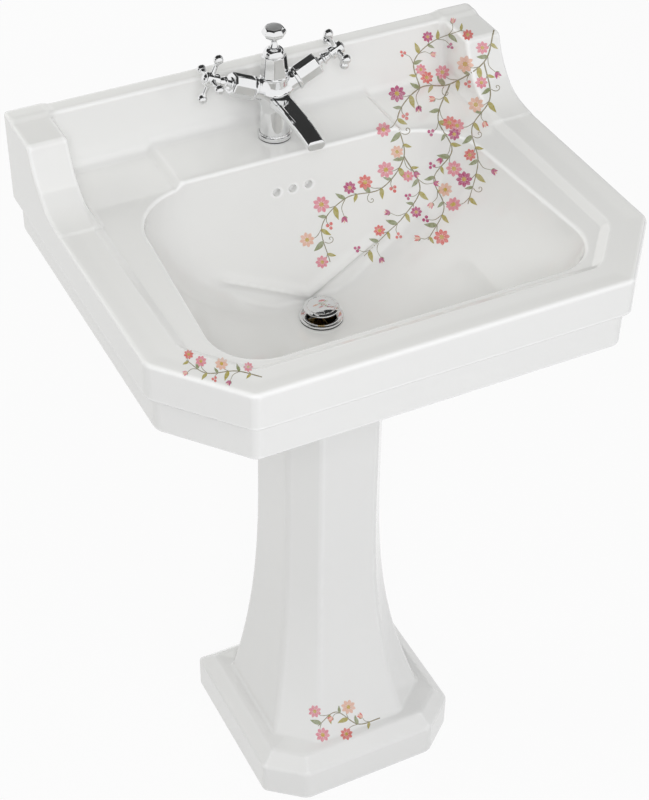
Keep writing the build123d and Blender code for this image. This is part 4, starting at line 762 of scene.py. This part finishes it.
def plug_field(x, y, z):
    """The domed plug with a fine ring turned into it."""
    wide, tall, rise = 22, 5, 3.6
    out = np.hypot(x, y)
    radius = (wide**2 + rise**2) / (2 * rise)
    dome = np.sqrt(out * out + (z - tall + radius) ** 2) - radius
    body = soft_max(soft_max(out - wide, -z, r=0.6), dome, r=0.9)
    return np.maximum(body, -bead(out, z, radius=17.5, height=2.9, thick=0.45))


# The camera: its place in metres, its directions, and its focal length in pixels of the picture
EYE = Vector((-0.80039, -1.53264, 2.04472))
VIEW_TURN, VIEW_RISE, VIEW_ROLL = math.radians(-27.04), math.radians(40.067), math.radians(0.817)
FOCUS = 1845.455
PICTURE = (649, 800)


def view_axes():
    """The camera's right, up and back directions."""
    flat = math.cos(VIEW_RISE)
    back = Vector((math.sin(VIEW_TURN) * flat, -math.cos(VIEW_TURN) * flat, math.sin(VIEW_RISE)))
    level = Vector((0, 0, 1)).cross(back).normalized()
    right = math.cos(VIEW_ROLL) * level + math.sin(VIEW_ROLL) * back.cross(level)
    return right, back.cross(right), back


# The printed flowers: each stem's points on the picture in pixels, the spacing of what it bears, what that
# is by turns, and its scale
BACK_VINES = (
    (((494, 30), (484, 62), (450, 84), (420, 88), (398, 116), (404, 156), (382, 188), (346, 198), (322, 226),
      (330, 262)), 13, ("daisy", "bud", "daisy", "berries", "daisy", "tendril"), 1.0),
    (((450, 84), (438, 118), (452, 150), (434, 178), (444, 208), (428, 240)), 13,
     ("bud", "daisy", "berries", "daisy"), 0.95),
    (((484, 62), (490, 98), (472, 128), (478, 162), (468, 204)), 13, ("daisy", "tendril", "daisy", "bud"), 0.95),
    (((404, 156), (420, 188), (404, 216), (386, 234), (364, 256)), 13, ("daisy", "bud", "berries"), 0.9),
    (((420, 88), (414, 62), (432, 42), (462, 30)), 12, ("daisy", "berries", "bud"), 0.85),
)
RIM_VINES = ((((262, 377), (236, 371), (206, 373), (186, 360)), 11, ("daisy", "bud", "daisy", "berries"), 0.75),)
FOOT_VINES = ((((380, 718), (358, 724), (336, 712), (318, 726)), 11, ("bud", "daisy", "daisy"), 0.85),)

# The print's colours, and how far each stands off the china
PRINT = {
    "stem": ((0.24, 0.2, 0.1), 0.12),
    "olive": ((0.42, 0.36, 0.07), 0.18),
    "sage": ((0.27, 0.3, 0.14), 0.2),
    "pink": ((0.78, 0.27, 0.33), 0.26),
    "coral": ((0.74, 0.16, 0.14), 0.28),
    "peach": ((0.83, 0.5, 0.38), 0.3),
    "magenta": ((0.5, 0.07, 0.2), 0.32),
    "ochre": ((0.6, 0.4, 0.06), 0.38),
}
PRINT_DEPTH = 0.3
PALE_SHARE, PALE = 0.22, 0.9
WASH_FROM, WASH_TO = 0.35, 0.65
LEAF_COLORS = ("olive", "sage")
DAISY_COLORS = ("pink", "coral", "peach", "magenta", "pink")
BUD_COLORS = ("coral", "magenta", "pink")
BERRY_COLORS = ("magenta", "coral")


def stroke(path, widths, across):
    """A ribbon along a path on the picture: rows of points from one side to the other."""
    path = np.asarray(path, float)
    run = np.gradient(path, axis=0)
    side = np.stack([-run[:, 1], run[:, 0]], 1) / np.maximum(np.linalg.norm(run, axis=1), 1e-9)[:, None]
    spread = np.linspace(-1, 1, across + 1)
    return path[:, None] + side[:, None] * np.asarray(widths)[:, None, None] * spread[None, :, None]


def curve(knots, count):
    """A smooth line through a few points."""
    knots = np.asarray(knots, float)
    knots = np.concatenate([2 * knots[:1] - knots[1:2], knots, 2 * knots[-1:] - knots[-2:-1]])
    at = np.linspace(0, len(knots) - 3 - 1e-9, count)
    i = at.astype(int)
    t = (at - i)[:, None]
    a, b, c, d = knots[i], knots[i + 1], knots[i + 2], knots[i + 3]
    return 0.5 * (2 * b + (c - a) * t + (2 * a - 5 * b + 4 * c - d) * t**2 + (3 * b - a - 3 * c + d) * t**3)


def heading(degrees):
    """A unit step on the picture, counted anticlockwise from the right."""
    return np.array([math.cos(math.radians(degrees)), -math.sin(math.radians(degrees))])


class Spray:
    """A printed spray of plain garden flowers, gathered by colour as ribbons on the picture."""

    KNOT_POINTS = 16
    STEM_LENGTH = 4
    LEAF_BEND, LEAF_WIDE = 22, 0.19
    PETALS, PETAL_WIDE, PETAL_ROOT, EYE_SHARE = 8, 0.24, 0.18, 0.27
    BUD_SPREAD, BUD_WIDE = (-24, 24, 0), 0.2
    TENDRIL_POINTS, TENDRIL_TURN, TENDRIL_WIDE = 22, 430, 0.32
    BERRIES, BERRY_REACH, BERRY_RADIUS = (0, 115, 235), 2.4, 1.7
    STEM_WIDE, BRANCH_WIDE, STEM_TAPER, THIN, PETAL_THIN = 0.7, 0.4, 0.6, 0.03, 0.05
    LEAF_TURN, LEAF_LENGTH, LEAF_GROWTH = 48, 9, 2.5
    BRANCH_TURN, BRANCH_LENGTH, BRANCH_GROWTH, BEND_TURN, BEND_SHARE = 52, 10, 4, 34, 0.55
    DAISY_RADIUS, DAISY_SPIN, BERRY_SPIN, DOT_TURN = 6.6, 17, 20, 35
    BUD_TURN, BUD_LENGTH, BUD_LEAF_TURN, BUD_LEAF = 60, 7, 70, 0.6
    TENDRIL_START, TENDRIL_SIZE = 40, 10

    def __init__(self):
        self.ribbons = {}

    def add(self, color, path, widths, across=2):
        """Another ribbon of a colour."""
        self.ribbons.setdefault(color, []).append(stroke(path, widths, across))

    def ray(self, at, turn, along):
        """Points along a straight line from a point."""
        return np.asarray(at) + along[:, None] * heading(turn)

    def bent(self, turns, lengths):
        """Steps that each have their own direction and length."""
        return np.cumsum(np.array([heading(turn) for turn in turns]) * lengths, axis=0)

    def stem(self, knots, width):
        """A stem in short lengths, so that one past an edge can be left out."""
        path = curve(knots, self.KNOT_POINTS * len(knots))
        widths = np.linspace(width, width * self.STEM_TAPER, len(path))
        for k in range(0, len(path) - 1, self.STEM_LENGTH):
            part = slice(k, k + self.STEM_LENGTH + 1)
            self.add("stem", path[part], widths[part])
        return path

    def leaf(self, at, turn, length, color):
        """A bent, pointed leaf."""
        s = np.linspace(0, 1, 10)
        steps = self.bent(turn + self.LEAF_BEND * s * (1 if color == "olive" else -1), length / 9)
        path = np.asarray(at) + steps - steps[0]
        self.add(color, path, self.THIN + length * self.LEAF_WIDE * np.sin(math.pi * s**0.7), 4)

    def dot(self, at, radius, color):
        """A round dot."""
        s = np.linspace(-1, 1, 9)
        self.add(color, self.ray(at, self.DOT_TURN, s * radius), self.THIN + radius * np.sqrt(1 - s * s), 4)

    def daisy(self, at, radius, turn, color):
        """A flower with narrow petals round an eye."""
        s = np.linspace(self.PETAL_ROOT, 1, 8)
        widths = self.PETAL_THIN + radius * self.PETAL_WIDE * np.sin(math.pi * np.linspace(0.12, 1, 8) ** 1.6)
        for k in range(self.PETALS):
            self.add(color, self.ray(at, turn + 360 / self.PETALS * k, s * radius), widths, 3)
        self.dot(at, radius * self.EYE_SHARE, "ochre")

    def bud(self, at, turn, length, color):
        """A bud of three petals with one leaf."""
        s = np.linspace(0, 1, 8)
        widths = self.PETAL_THIN + length * self.BUD_WIDE * np.sin(math.pi * s**0.8)
        for lean in self.BUD_SPREAD:
            self.add(color if lean else "peach", self.ray(at, turn + lean, s * length), widths, 3)
        self.leaf(at, turn + self.BUD_LEAF_TURN, length * self.BUD_LEAF, "sage")

    def berries(self, at, turn, scale, color):
        """Three berries in a bunch."""
        for spin in self.BERRIES:
            self.dot(at + self.BERRY_REACH * scale * heading(spin + turn), self.BERRY_RADIUS * scale, color)

    def tendril(self, at, turn, size):
        """A thread that winds up."""
        s = np.linspace(0, 1, self.TENDRIL_POINTS)
        steps = self.bent(turn + self.TENDRIL_TURN * s**1.4, (size * (1.15 - s) / 7)[:, None])
        self.add("stem", np.asarray(at) + steps, np.full(self.TENDRIL_POINTS, self.TENDRIL_WIDE))

    def vine(self, knots, spacing, flowers, scale):
        """A stem with leaves to one side and a flower, bud, berries or tendril by turns to the other."""
        path = self.stem(knots, self.STEM_WIDE * scale)
        gone = np.concatenate([[0], np.cumsum(np.linalg.norm(np.diff(path, axis=0), axis=1))])
        for k, along in enumerate(np.arange(spacing, gone[-1], spacing)):
            i = min(int(np.searchsorted(gone, along)), len(path) - 2)
            run = path[i + 1] - path[i]
            turn = math.degrees(math.atan2(-run[1], run[0]))
            side = 1 if k % 2 else -1
            length = self.LEAF_LENGTH + self.LEAF_GROWTH * (k % 3)
            self.leaf(path[i], turn - side * self.LEAF_TURN, length * scale, LEAF_COLORS[k % 2])
            kind = flowers[k % len(flowers)]
            if kind == "tendril":
                self.tendril(path[i], turn + side * self.TENDRIL_START, self.TENDRIL_SIZE * scale)
                continue
            reach = (self.BRANCH_LENGTH + self.BRANCH_GROWTH * ((k * 2) % 3)) * scale
            tip = path[i] + reach * heading(turn + side * self.BRANCH_TURN)
            bend = path[i] + self.BEND_SHARE * reach * heading(turn + side * self.BEND_TURN)
            self.stem([path[i], bend, tip], self.BRANCH_WIDE * scale)
            if kind == "daisy":
                self.daisy(tip, (self.DAISY_RADIUS + k % 3) * scale, self.DAISY_SPIN * k, DAISY_COLORS[k % 5])
            elif kind == "bud":
                self.bud(tip, turn + side * self.BUD_TURN, self.BUD_LENGTH * scale, BUD_COLORS[k % 3])
            else:
                self.berries(tip, self.BERRY_SPIN * k, scale, BERRY_COLORS[k % 2])


SIGHT_START, SIGHT_TURNS, SIGHT_SHARE, SIGHT_STEPS = 1550.0, 60, 0.75, (-8, 200)
LONGEST_STEP, FARTHEST_OFF = 9, 0.5


def onto_china(ribbons, field):
    """The ribbons laid on the china along the lines of sight, without those that would run over an edge."""
    right, up, back = [np.array(axis) for axis in view_axes()]
    eye = np.array(EYE) / MM
    picture = np.concatenate([ribbon.reshape(-1, 2) for ribbon in ribbons])
    way = right * (picture[:, :1] - PICTURE[0] / 2) - up * (picture[:, 1:] - PICTURE[1] / 2) - back * FOCUS
    way = way / np.linalg.norm(way, axis=1)[:, None]
    gone = np.full(len(way), SIGHT_START)
    for _ in range(SIGHT_TURNS):
        at = eye + way * gone[:, None]
        gone = gone + SIGHT_SHARE * np.clip(field(*at.T), *SIGHT_STEPS)
    at = eye + way * gone[:, None]
    off = np.abs(field(*at.T))
    laid, start = [], 0
    for rows, wide, _ in (ribbon.shape for ribbon in ribbons):
        end = start + rows * wide
        grid = at[start:end].reshape(rows, wide, 3)
        longest = max(np.linalg.norm(np.diff(grid, axis=axis), axis=2).max() for axis in (0, 1))
        if longest < LONGEST_STEP and off[start:end].max() < FARTHEST_OFF:
            laid.append(grid)
        start = end
    return laid


def print_finish(name, base):
    """Transfer-print colour under the glaze, uneven as a brush leaves it."""
    if name not in FINISHES:
        pale = [c + PALE_SHARE * (PALE - c) for c in base]
        f = Finish(name)
        wash = f.rise(f.noise(scale=260.0, detail=3.0), WASH_FROM, WASH_TO)
        FINISHES[name] = f.surface(
            Base_Color=f.blend(wash, rgba(base), rgba(pale)), Roughness=0.08 + 0.06 * f.noise(scale=80.0),
            Coat_Weight=GLAZE_COAT, Coat_Roughness=GLAZE_COAT_ROUGH)
    return FINISHES[name]


def print_spray(name, vines, field):
    """One thin piece for each of a spray's colours, pressed on to the china."""
    spray = Spray()
    for vine in vines:
        spray.vine(*vine)
    for color, ribbons in spray.ribbons.items():
        base, level = PRINT[color]
        laid = onto_china(ribbons, field)
        total = sum(at.shape[0] * at.shape[1] for at in laid)
        faces, start = [], 0
        for rows, wide, _ in (at.shape for at in laid):
            place = start + np.arange(rows * wide).reshape(rows, wide)
            top = np.stack([place[:-1, :-1], place[:-1, 1:], place[1:, 1:], place[1:, :-1]], -1).reshape(-1, 4)
            edge = np.concatenate([place[0, :-1], place[:-1, -1], place[-1, :0:-1], place[:0:-1, 0]])
            after = np.roll(edge, -1)
            faces += [top, top[:, ::-1] + total, np.stack([after, edge, edge + total, after + total], 1)]
            start += rows * wide
        points = np.concatenate([at.reshape(-1, 3) for at in laid])
        above, normals = settle(field, points, level, PRINT_DEPTH)
        under = settle(field, points, -PRINT_DEPTH, PRINT_DEPTH)[0]
        piece = place_mesh(name + "_" + color, np.concatenate([above, under]), np.concatenate(faces),
                           np.concatenate([normals, normals]))
        piece.data.materials.append(print_finish("print_" + color, base))
        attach(piece, "sink")


class SinkChina(PropertyGroup):
    """The china's colour and how finely it is meshed."""

    glaze: FloatVectorProperty(name="Glaze", description="Colour of the glazed china", subtype="COLOR",
                               default=(0.9, 0.9, 0.888), min=0, max=1)
    pitch: FloatProperty(name="Mesh pitch", description="Spacing of the china's mesh", default=2.2 * MM,
                         min=1.5 * MM, unit="LENGTH")


class SinkTap(PropertyGroup):
    """The tap's plating and how finely it is meshed."""

    plate: FloatVectorProperty(name="Plate", description="Colour of the chrome plate", subtype="COLOR",
                               default=(0.86, 0.865, 0.87), min=0, max=1)
    pitch: FloatProperty(name="Mesh pitch", description="Spacing of the tap's mesh", default=0.7 * MM,
                         min=0.3 * MM, unit="LENGTH")


class SinkStage(PropertyGroup):
    """The studio: floor and light."""

    floor: FloatVectorProperty(name="Floor", description="Colour of the paper floor", subtype="COLOR",
                               default=(0.8, 0.8, 0.8), min=0, max=1)
    ambient: FloatProperty(name="Ambient", description="Strength of the soft light all round", default=0.4, min=0)
    top: FloatProperty(name="Top", description="Power of the light overhead", default=12.5, min=0, unit="POWER")
    right: FloatProperty(name="Right", description="Power of the light in front on the right", default=17.0, min=0,
                         unit="POWER")
    left: FloatProperty(name="Left", description="Power of the light behind on the left", default=14.0, min=0,
                        unit="POWER")
    fill: FloatProperty(name="Fill", description="Power of the light beside the camera", default=21.5, min=0,
                        unit="POWER")
    back: FloatProperty(name="Back", description="Power of the light behind", default=12.0, min=0, unit="POWER")


# The studio, in metres
SENSOR_MM = 36
FLOOR_SIZE = 18
FLOOR_WHITE = 0.92
MIDDLE = (0, 0, 0.85)
TAP_MIDDLE = (0, TAP_Y * MM, RIM * MM + 0.06)
# Each light's place, size and colour, and each card's place, what it faces, its width and its height
LIGHTS = {
    "top": ((0, 0, 3.2), 3.0, (1.0, 1.0, 0.93)),
    "right": ((0.9, -2.9, 1.6), 1.5, (0.97, 0.98, 1.0)),
    "left": ((-2.2, 1.4, 2.2), 1.5, (1.0, 1.0, 0.95)),
    "fill": ((-0.9, -2.0, 2.3), 0.8, (0.98, 0.98, 1.0)),
    "back": ((0.6, 3.0, 1.5), 1.5, (1.0, 1.0, 1.0)),
}
CARDS = {
    "ceiling_card": ((0, 1.0, 2.6), (0, 1.0, 0), 5.0, 3.8),
    "right_card": ((1.58, 1.5, 1.3), TAP_MIDDLE, 1.7, 1.1),
    "left_side_card": ((-2.0, 0.3, 1.4), TAP_MIDDLE, 1.4, 1.0),
    "right_side_card": ((2.0, 0.0, 1.4), TAP_MIDDLE, 1.2, 1.0),
}
CARD_COLOR = (0.04, 0.04, 0.04)


def facing(place, target, forward):
    """The turn that points an object's forward axis from its place at a target."""
    return (Vector(target) - Vector(place)).to_track_quat(forward, "Y").to_euler()


def light(name, power, place, size, color):
    """A square soft light that faces the sink."""
    lamp = bpy.data.lights.new(name, "AREA")
    lamp.shape = "SQUARE"
    lamp.size = size
    lamp.energy = power
    lamp.color = color
    thing = bpy.data.objects.new(name, lamp)
    thing.location = place
    thing.rotation_euler = facing(place, MIDDLE, "-Z")
    thing.visible_glossy = name == "top_light"
    bpy.context.scene.collection.objects.link(thing)


def card(name, finish, place, target, width, height):
    """A flat card that only shows in polished metal and glaze."""
    thing = place_sheet(name, width, height)
    thing.location = place
    thing.rotation_euler = facing(place, target, "Z")
    thing.data.materials.append(finish)
    thing.visible_camera = False
    thing.visible_diffuse = False
    thing.visible_shadow = False
    thing.visible_transmission = False


class SINK_OT_stage(Operator):
    """Sets up the camera, floor, light and backdrop"""

    bl_idname = "sink.stage"
    bl_label = "Stage"

    def execute(self, context):
        scene = context.scene
        settings = scene.sink_stage
        scene.view_settings.view_transform = "Standard"
        camera = bpy.data.objects.new("camera", bpy.data.cameras.new("camera"))
        camera.data.sensor_width = SENSOR_MM
        camera.data.lens = FOCUS * SENSOR_MM / max(PICTURE)
        camera.matrix_world = Matrix.Translation(EYE) @ Matrix(view_axes()).transposed().to_4x4()
        scene.collection.objects.link(camera)
        scene.camera = camera

        floor = place_sheet("floor", FLOOR_SIZE, FLOOR_SIZE)
        f = Finish("studio_floor")
        paper = f.node("ShaderNodeBsdfDiffuse", None, {"Color": rgba(settings.floor)})
        white = f.node("ShaderNodeEmission", None, {"Color": WHITE, "Strength": 1.0})
        share = f.in_sight() * FLOOR_WHITE
        floor.data.materials.append(f.close(f.node("ShaderNodeMixShader", None, {0: share, 1: paper, 2: white})))

        scene.world = bpy.data.worlds.new("studio")
        w = Finish("studio", scene.world)
        soft = w.node("ShaderNodeBackground", None, {"Color": WHITE, "Strength": settings.ambient})
        plain = w.node("ShaderNodeBackground", None, {"Color": WHITE, "Strength": 1.0})
        w.close(w.node("ShaderNodeMixShader", None, {0: w.in_sight(), 1: soft, 2: plain}))

        cloth = Finish("black_card").surface(Base_Color=rgba(CARD_COLOR), Roughness=0.9)
        for name, values in CARDS.items():
            card(name, cloth, *values)
        for name, values in LIGHTS.items():
            light(name + "_light", getattr(settings, name), *values)
        return {"FINISHED"}


class SINK_OT_basin(Operator):
    """Shapes and glazes the basin"""

    bl_idname = "sink.basin"
    bl_label = "Basin"

    def execute(self, context):
        settings = context.scene.sink_china
        cast("china_basin", basin_field, BASIN_LOW, BASIN_HIGH, settings.pitch / MM, china_finish(settings),
             "sink", ["basin"])
        return {"FINISHED"}


class SINK_OT_pedestal(Operator):
    """Shapes and glazes the pedestal"""

    bl_idname = "sink.pedestal"
    bl_label = "Pedestal"

    def execute(self, context):
        settings = context.scene.sink_china
        cast("china_pedestal", pedestal_field, PEDESTAL_LOW, PEDESTAL_HIGH, settings.pitch / MM,
             china_finish(settings), "sink", ["pedestal"])
        return {"FINISHED"}


class SINK_OT_print(Operator):
    """Prints sprays of garden flowers on the china"""

    bl_idname = "sink.print"
    bl_label = "Flower print"

    def execute(self, context):
        print_spray("back_spray", BACK_VINES, basin_field)
        print_spray("rim_spray", RIM_VINES, basin_field)
        print_spray("foot_spray", FOOT_VINES, pedestal_field)
        return {"FINISHED"}


def tap_place():
    """The tap's upright frame, on the deck."""
    return Matrix.Translation((0, TAP_Y * MM, TAP_Z * MM))


def valve_place(side):
    """A valve's frame: Z runs out along its axis from the hub's middle."""
    out = Vector((side * math.cos(VALVE_LEAN), 0, math.sin(VALVE_LEAN)))
    up = Vector((-side * math.sin(VALVE_LEAN), 0, math.cos(VALVE_LEAN)))
    turn = Matrix((up, out.cross(up), out)).transposed().to_4x4()
    return Matrix.Translation((0, TAP_Y * MM, (TAP_Z + HUB_HEIGHT) * MM)) @ turn


def plated(name, field, low, high, body, node, place, finer=1, satin=None):
    """A chromed piece of the tap or the waste."""
    settings = bpy.context.scene.sink_tap
    finish = plate_finish(settings, "satin_topped_plate", satin) if satin else plate_finish(settings)
    cast(name, field, low, high, settings.pitch / MM / finer, finish, body, [node], place)


class SINK_OT_tap_body(Operator):
    """Makes the tap's body, base ring, column and spout"""

    bl_idname = "sink.tap_body"
    bl_label = "Tap body"

    def execute(self, context):
        pieces = (
            ("tap_casting", tap_body_field, (-40, -20, 0), (40, 20, 80), "tap_body"),
            ("base_moulding", base_ring_field, (-22, -22, 0), (22, 22, 8), "tap_base_ring"),
            ("faceted_column", column_field, (-18, -18, 78), (18, 18, 118), "tap_column"),
            ("flat_spout", spout_field, (-14, -113, 40), (14, 0, 73), "spout"),
        )
        for name, field, low, high, node in pieces:
            plated(name, field, low, high, "sink", node, tap_place())
        return {"FINISHED"}


class SINK_OT_valves(Operator):
    """Makes both valves' covers and cross handles"""

    bl_idname = "sink.valves"
    bl_label = "Valves"

    def execute(self, context):
        for side, name in ((-1, "hot"), (1, "cold")):
            place = valve_place(side)
            handle = name + "_handle"
            plated(name + "_valve_cover", bonnet_field, (-16, -16, 28), (16, 16, 65), "sink", name + "_bonnet",
                   place)
            plated(name + "_cross_handle", crosshead_field, (-32, -32, 67), (32, 32, 98), handle,
                   name + "_crosshead", place)
            plated(handle + "_cap", index_cap_field, (-6, -6, 95), (6, 6, 100), handle, name + "_index_cap", place,
                   finer=2)
        return {"FINISHED"}


class SINK_OT_lift_knob(Operator):
    """Makes the lift knob"""

    bl_idname = "sink.lift_knob"
    bl_label = "Lift knob"

    def execute(self, context):
        plated("faceted_lift_knob", knob_field, (-15, -15, 117), (15, 15, 146), "lift", "lift_knob", tap_place(),
               satin=0.6)
        return {"FINISHED"}


class SINK_OT_waste(Operator):
    """Makes the waste flange and its plug"""

    bl_idname = "sink.waste"
    bl_label = "Waste"

    def execute(self, context):
        floor = Matrix.Translation((0, DRAIN_Y * MM, FLOOR_Z * MM))
        seat = Matrix.Translation((0, DRAIN_Y * MM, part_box("plug_cap")[0].z))
        plated("dished_waste_flange", flange_field, (-28, -28, -69), (28, 28, 6), "sink", "waste_flange", floor)
        plated("domed_plug", plug_field, (-23, -23, 0), (23, 23, 6), "plug", "plug_cap", seat)
        return {"FINISHED"}


class SINK_OT_fittings(Operator):
    """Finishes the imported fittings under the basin"""

    bl_idname = "sink.fittings"
    bl_label = "Fittings"

    def execute(self, context):
        plate = plate_finish(context.scene.sink_tap)
        finishes = {
            "china": china_finish(context.scene.sink_china),
            "chrome": plate,
            "index": plate,
            "brass": metal_finish("turned_brass", color=(0.72, 0.53, 0.26), rough=0.22, stretch=(1, 1, 0.05)),
            "steel": metal_finish("brushed_steel", color=(0.6, 0.6, 0.6), rough=0.28, stretch=(1, 1, 0.03)),
            "rubber": moulded_finish("black_rubber", (0.025, 0.025, 0.026), rough=0.6, grain=700.0, depth=0.0001),
            "white_plastic": moulded_finish("white_plastic", (0.82, 0.82, 0.8), rough=0.25, grain=350.0,
                                            depth=0.00004),
            "nylon": moulded_finish("nylon", (0.78, 0.77, 0.72), rough=0.4, grain=500.0, depth=0.00005),
        }
        for part in frame["record"]["subparts"]:
            node = frame["nodes"][part["node"]]
            node.data.materials.clear()
            node.data.materials.append(finishes[part["material_slot"]])
        return {"FINISHED"}


class SINK_PT_panel(Panel):
    """The sink's pieces and settings"""

    bl_idname = "SINK_PT_panel"
    bl_label = "Pedestal Sink"
    bl_space_type = "VIEW_3D"
    bl_region_type = "UI"
    bl_category = "Sink"

    def draw(self, context):
        for group in (context.scene.sink_china, context.scene.sink_tap, context.scene.sink_stage):
            for name in group.__annotations__:
                self.layout.prop(group, name)
        for operator in OPERATORS:
            self.layout.operator(operator.bl_idname)


GROUPS = {"sink_china": SinkChina, "sink_tap": SinkTap, "sink_stage": SinkStage}
OPERATORS = (SINK_OT_stage, SINK_OT_fittings, SINK_OT_basin, SINK_OT_pedestal, SINK_OT_print, SINK_OT_tap_body,
             SINK_OT_valves, SINK_OT_lift_knob, SINK_OT_waste)


def register():
    for name, group in GROUPS.items():
        bpy.utils.register_class(group)
        setattr(bpy.types.Scene, name, PointerProperty(type=group))
    for item in OPERATORS + (SINK_PT_panel,):
        bpy.utils.register_class(item)


def unregister():
    for item in reversed(OPERATORS + (SINK_PT_panel,)):
        bpy.utils.unregister_class(item)
    for name, group in GROUPS.items():
        delattr(bpy.types.Scene, name)
        bpy.utils.unregister_class(group)


def main():
    register()
    bpy.ops.sink.stage()
    bpy.ops.sink.fittings()
    bpy.ops.sink.basin()
    bpy.ops.sink.pedestal()
    bpy.ops.sink.print()
    bpy.ops.sink.tap_body()
    bpy.ops.sink.valves()
    bpy.ops.sink.lift_knob()
    bpy.ops.sink.waste()


if __name__ == "__main__":
    main()
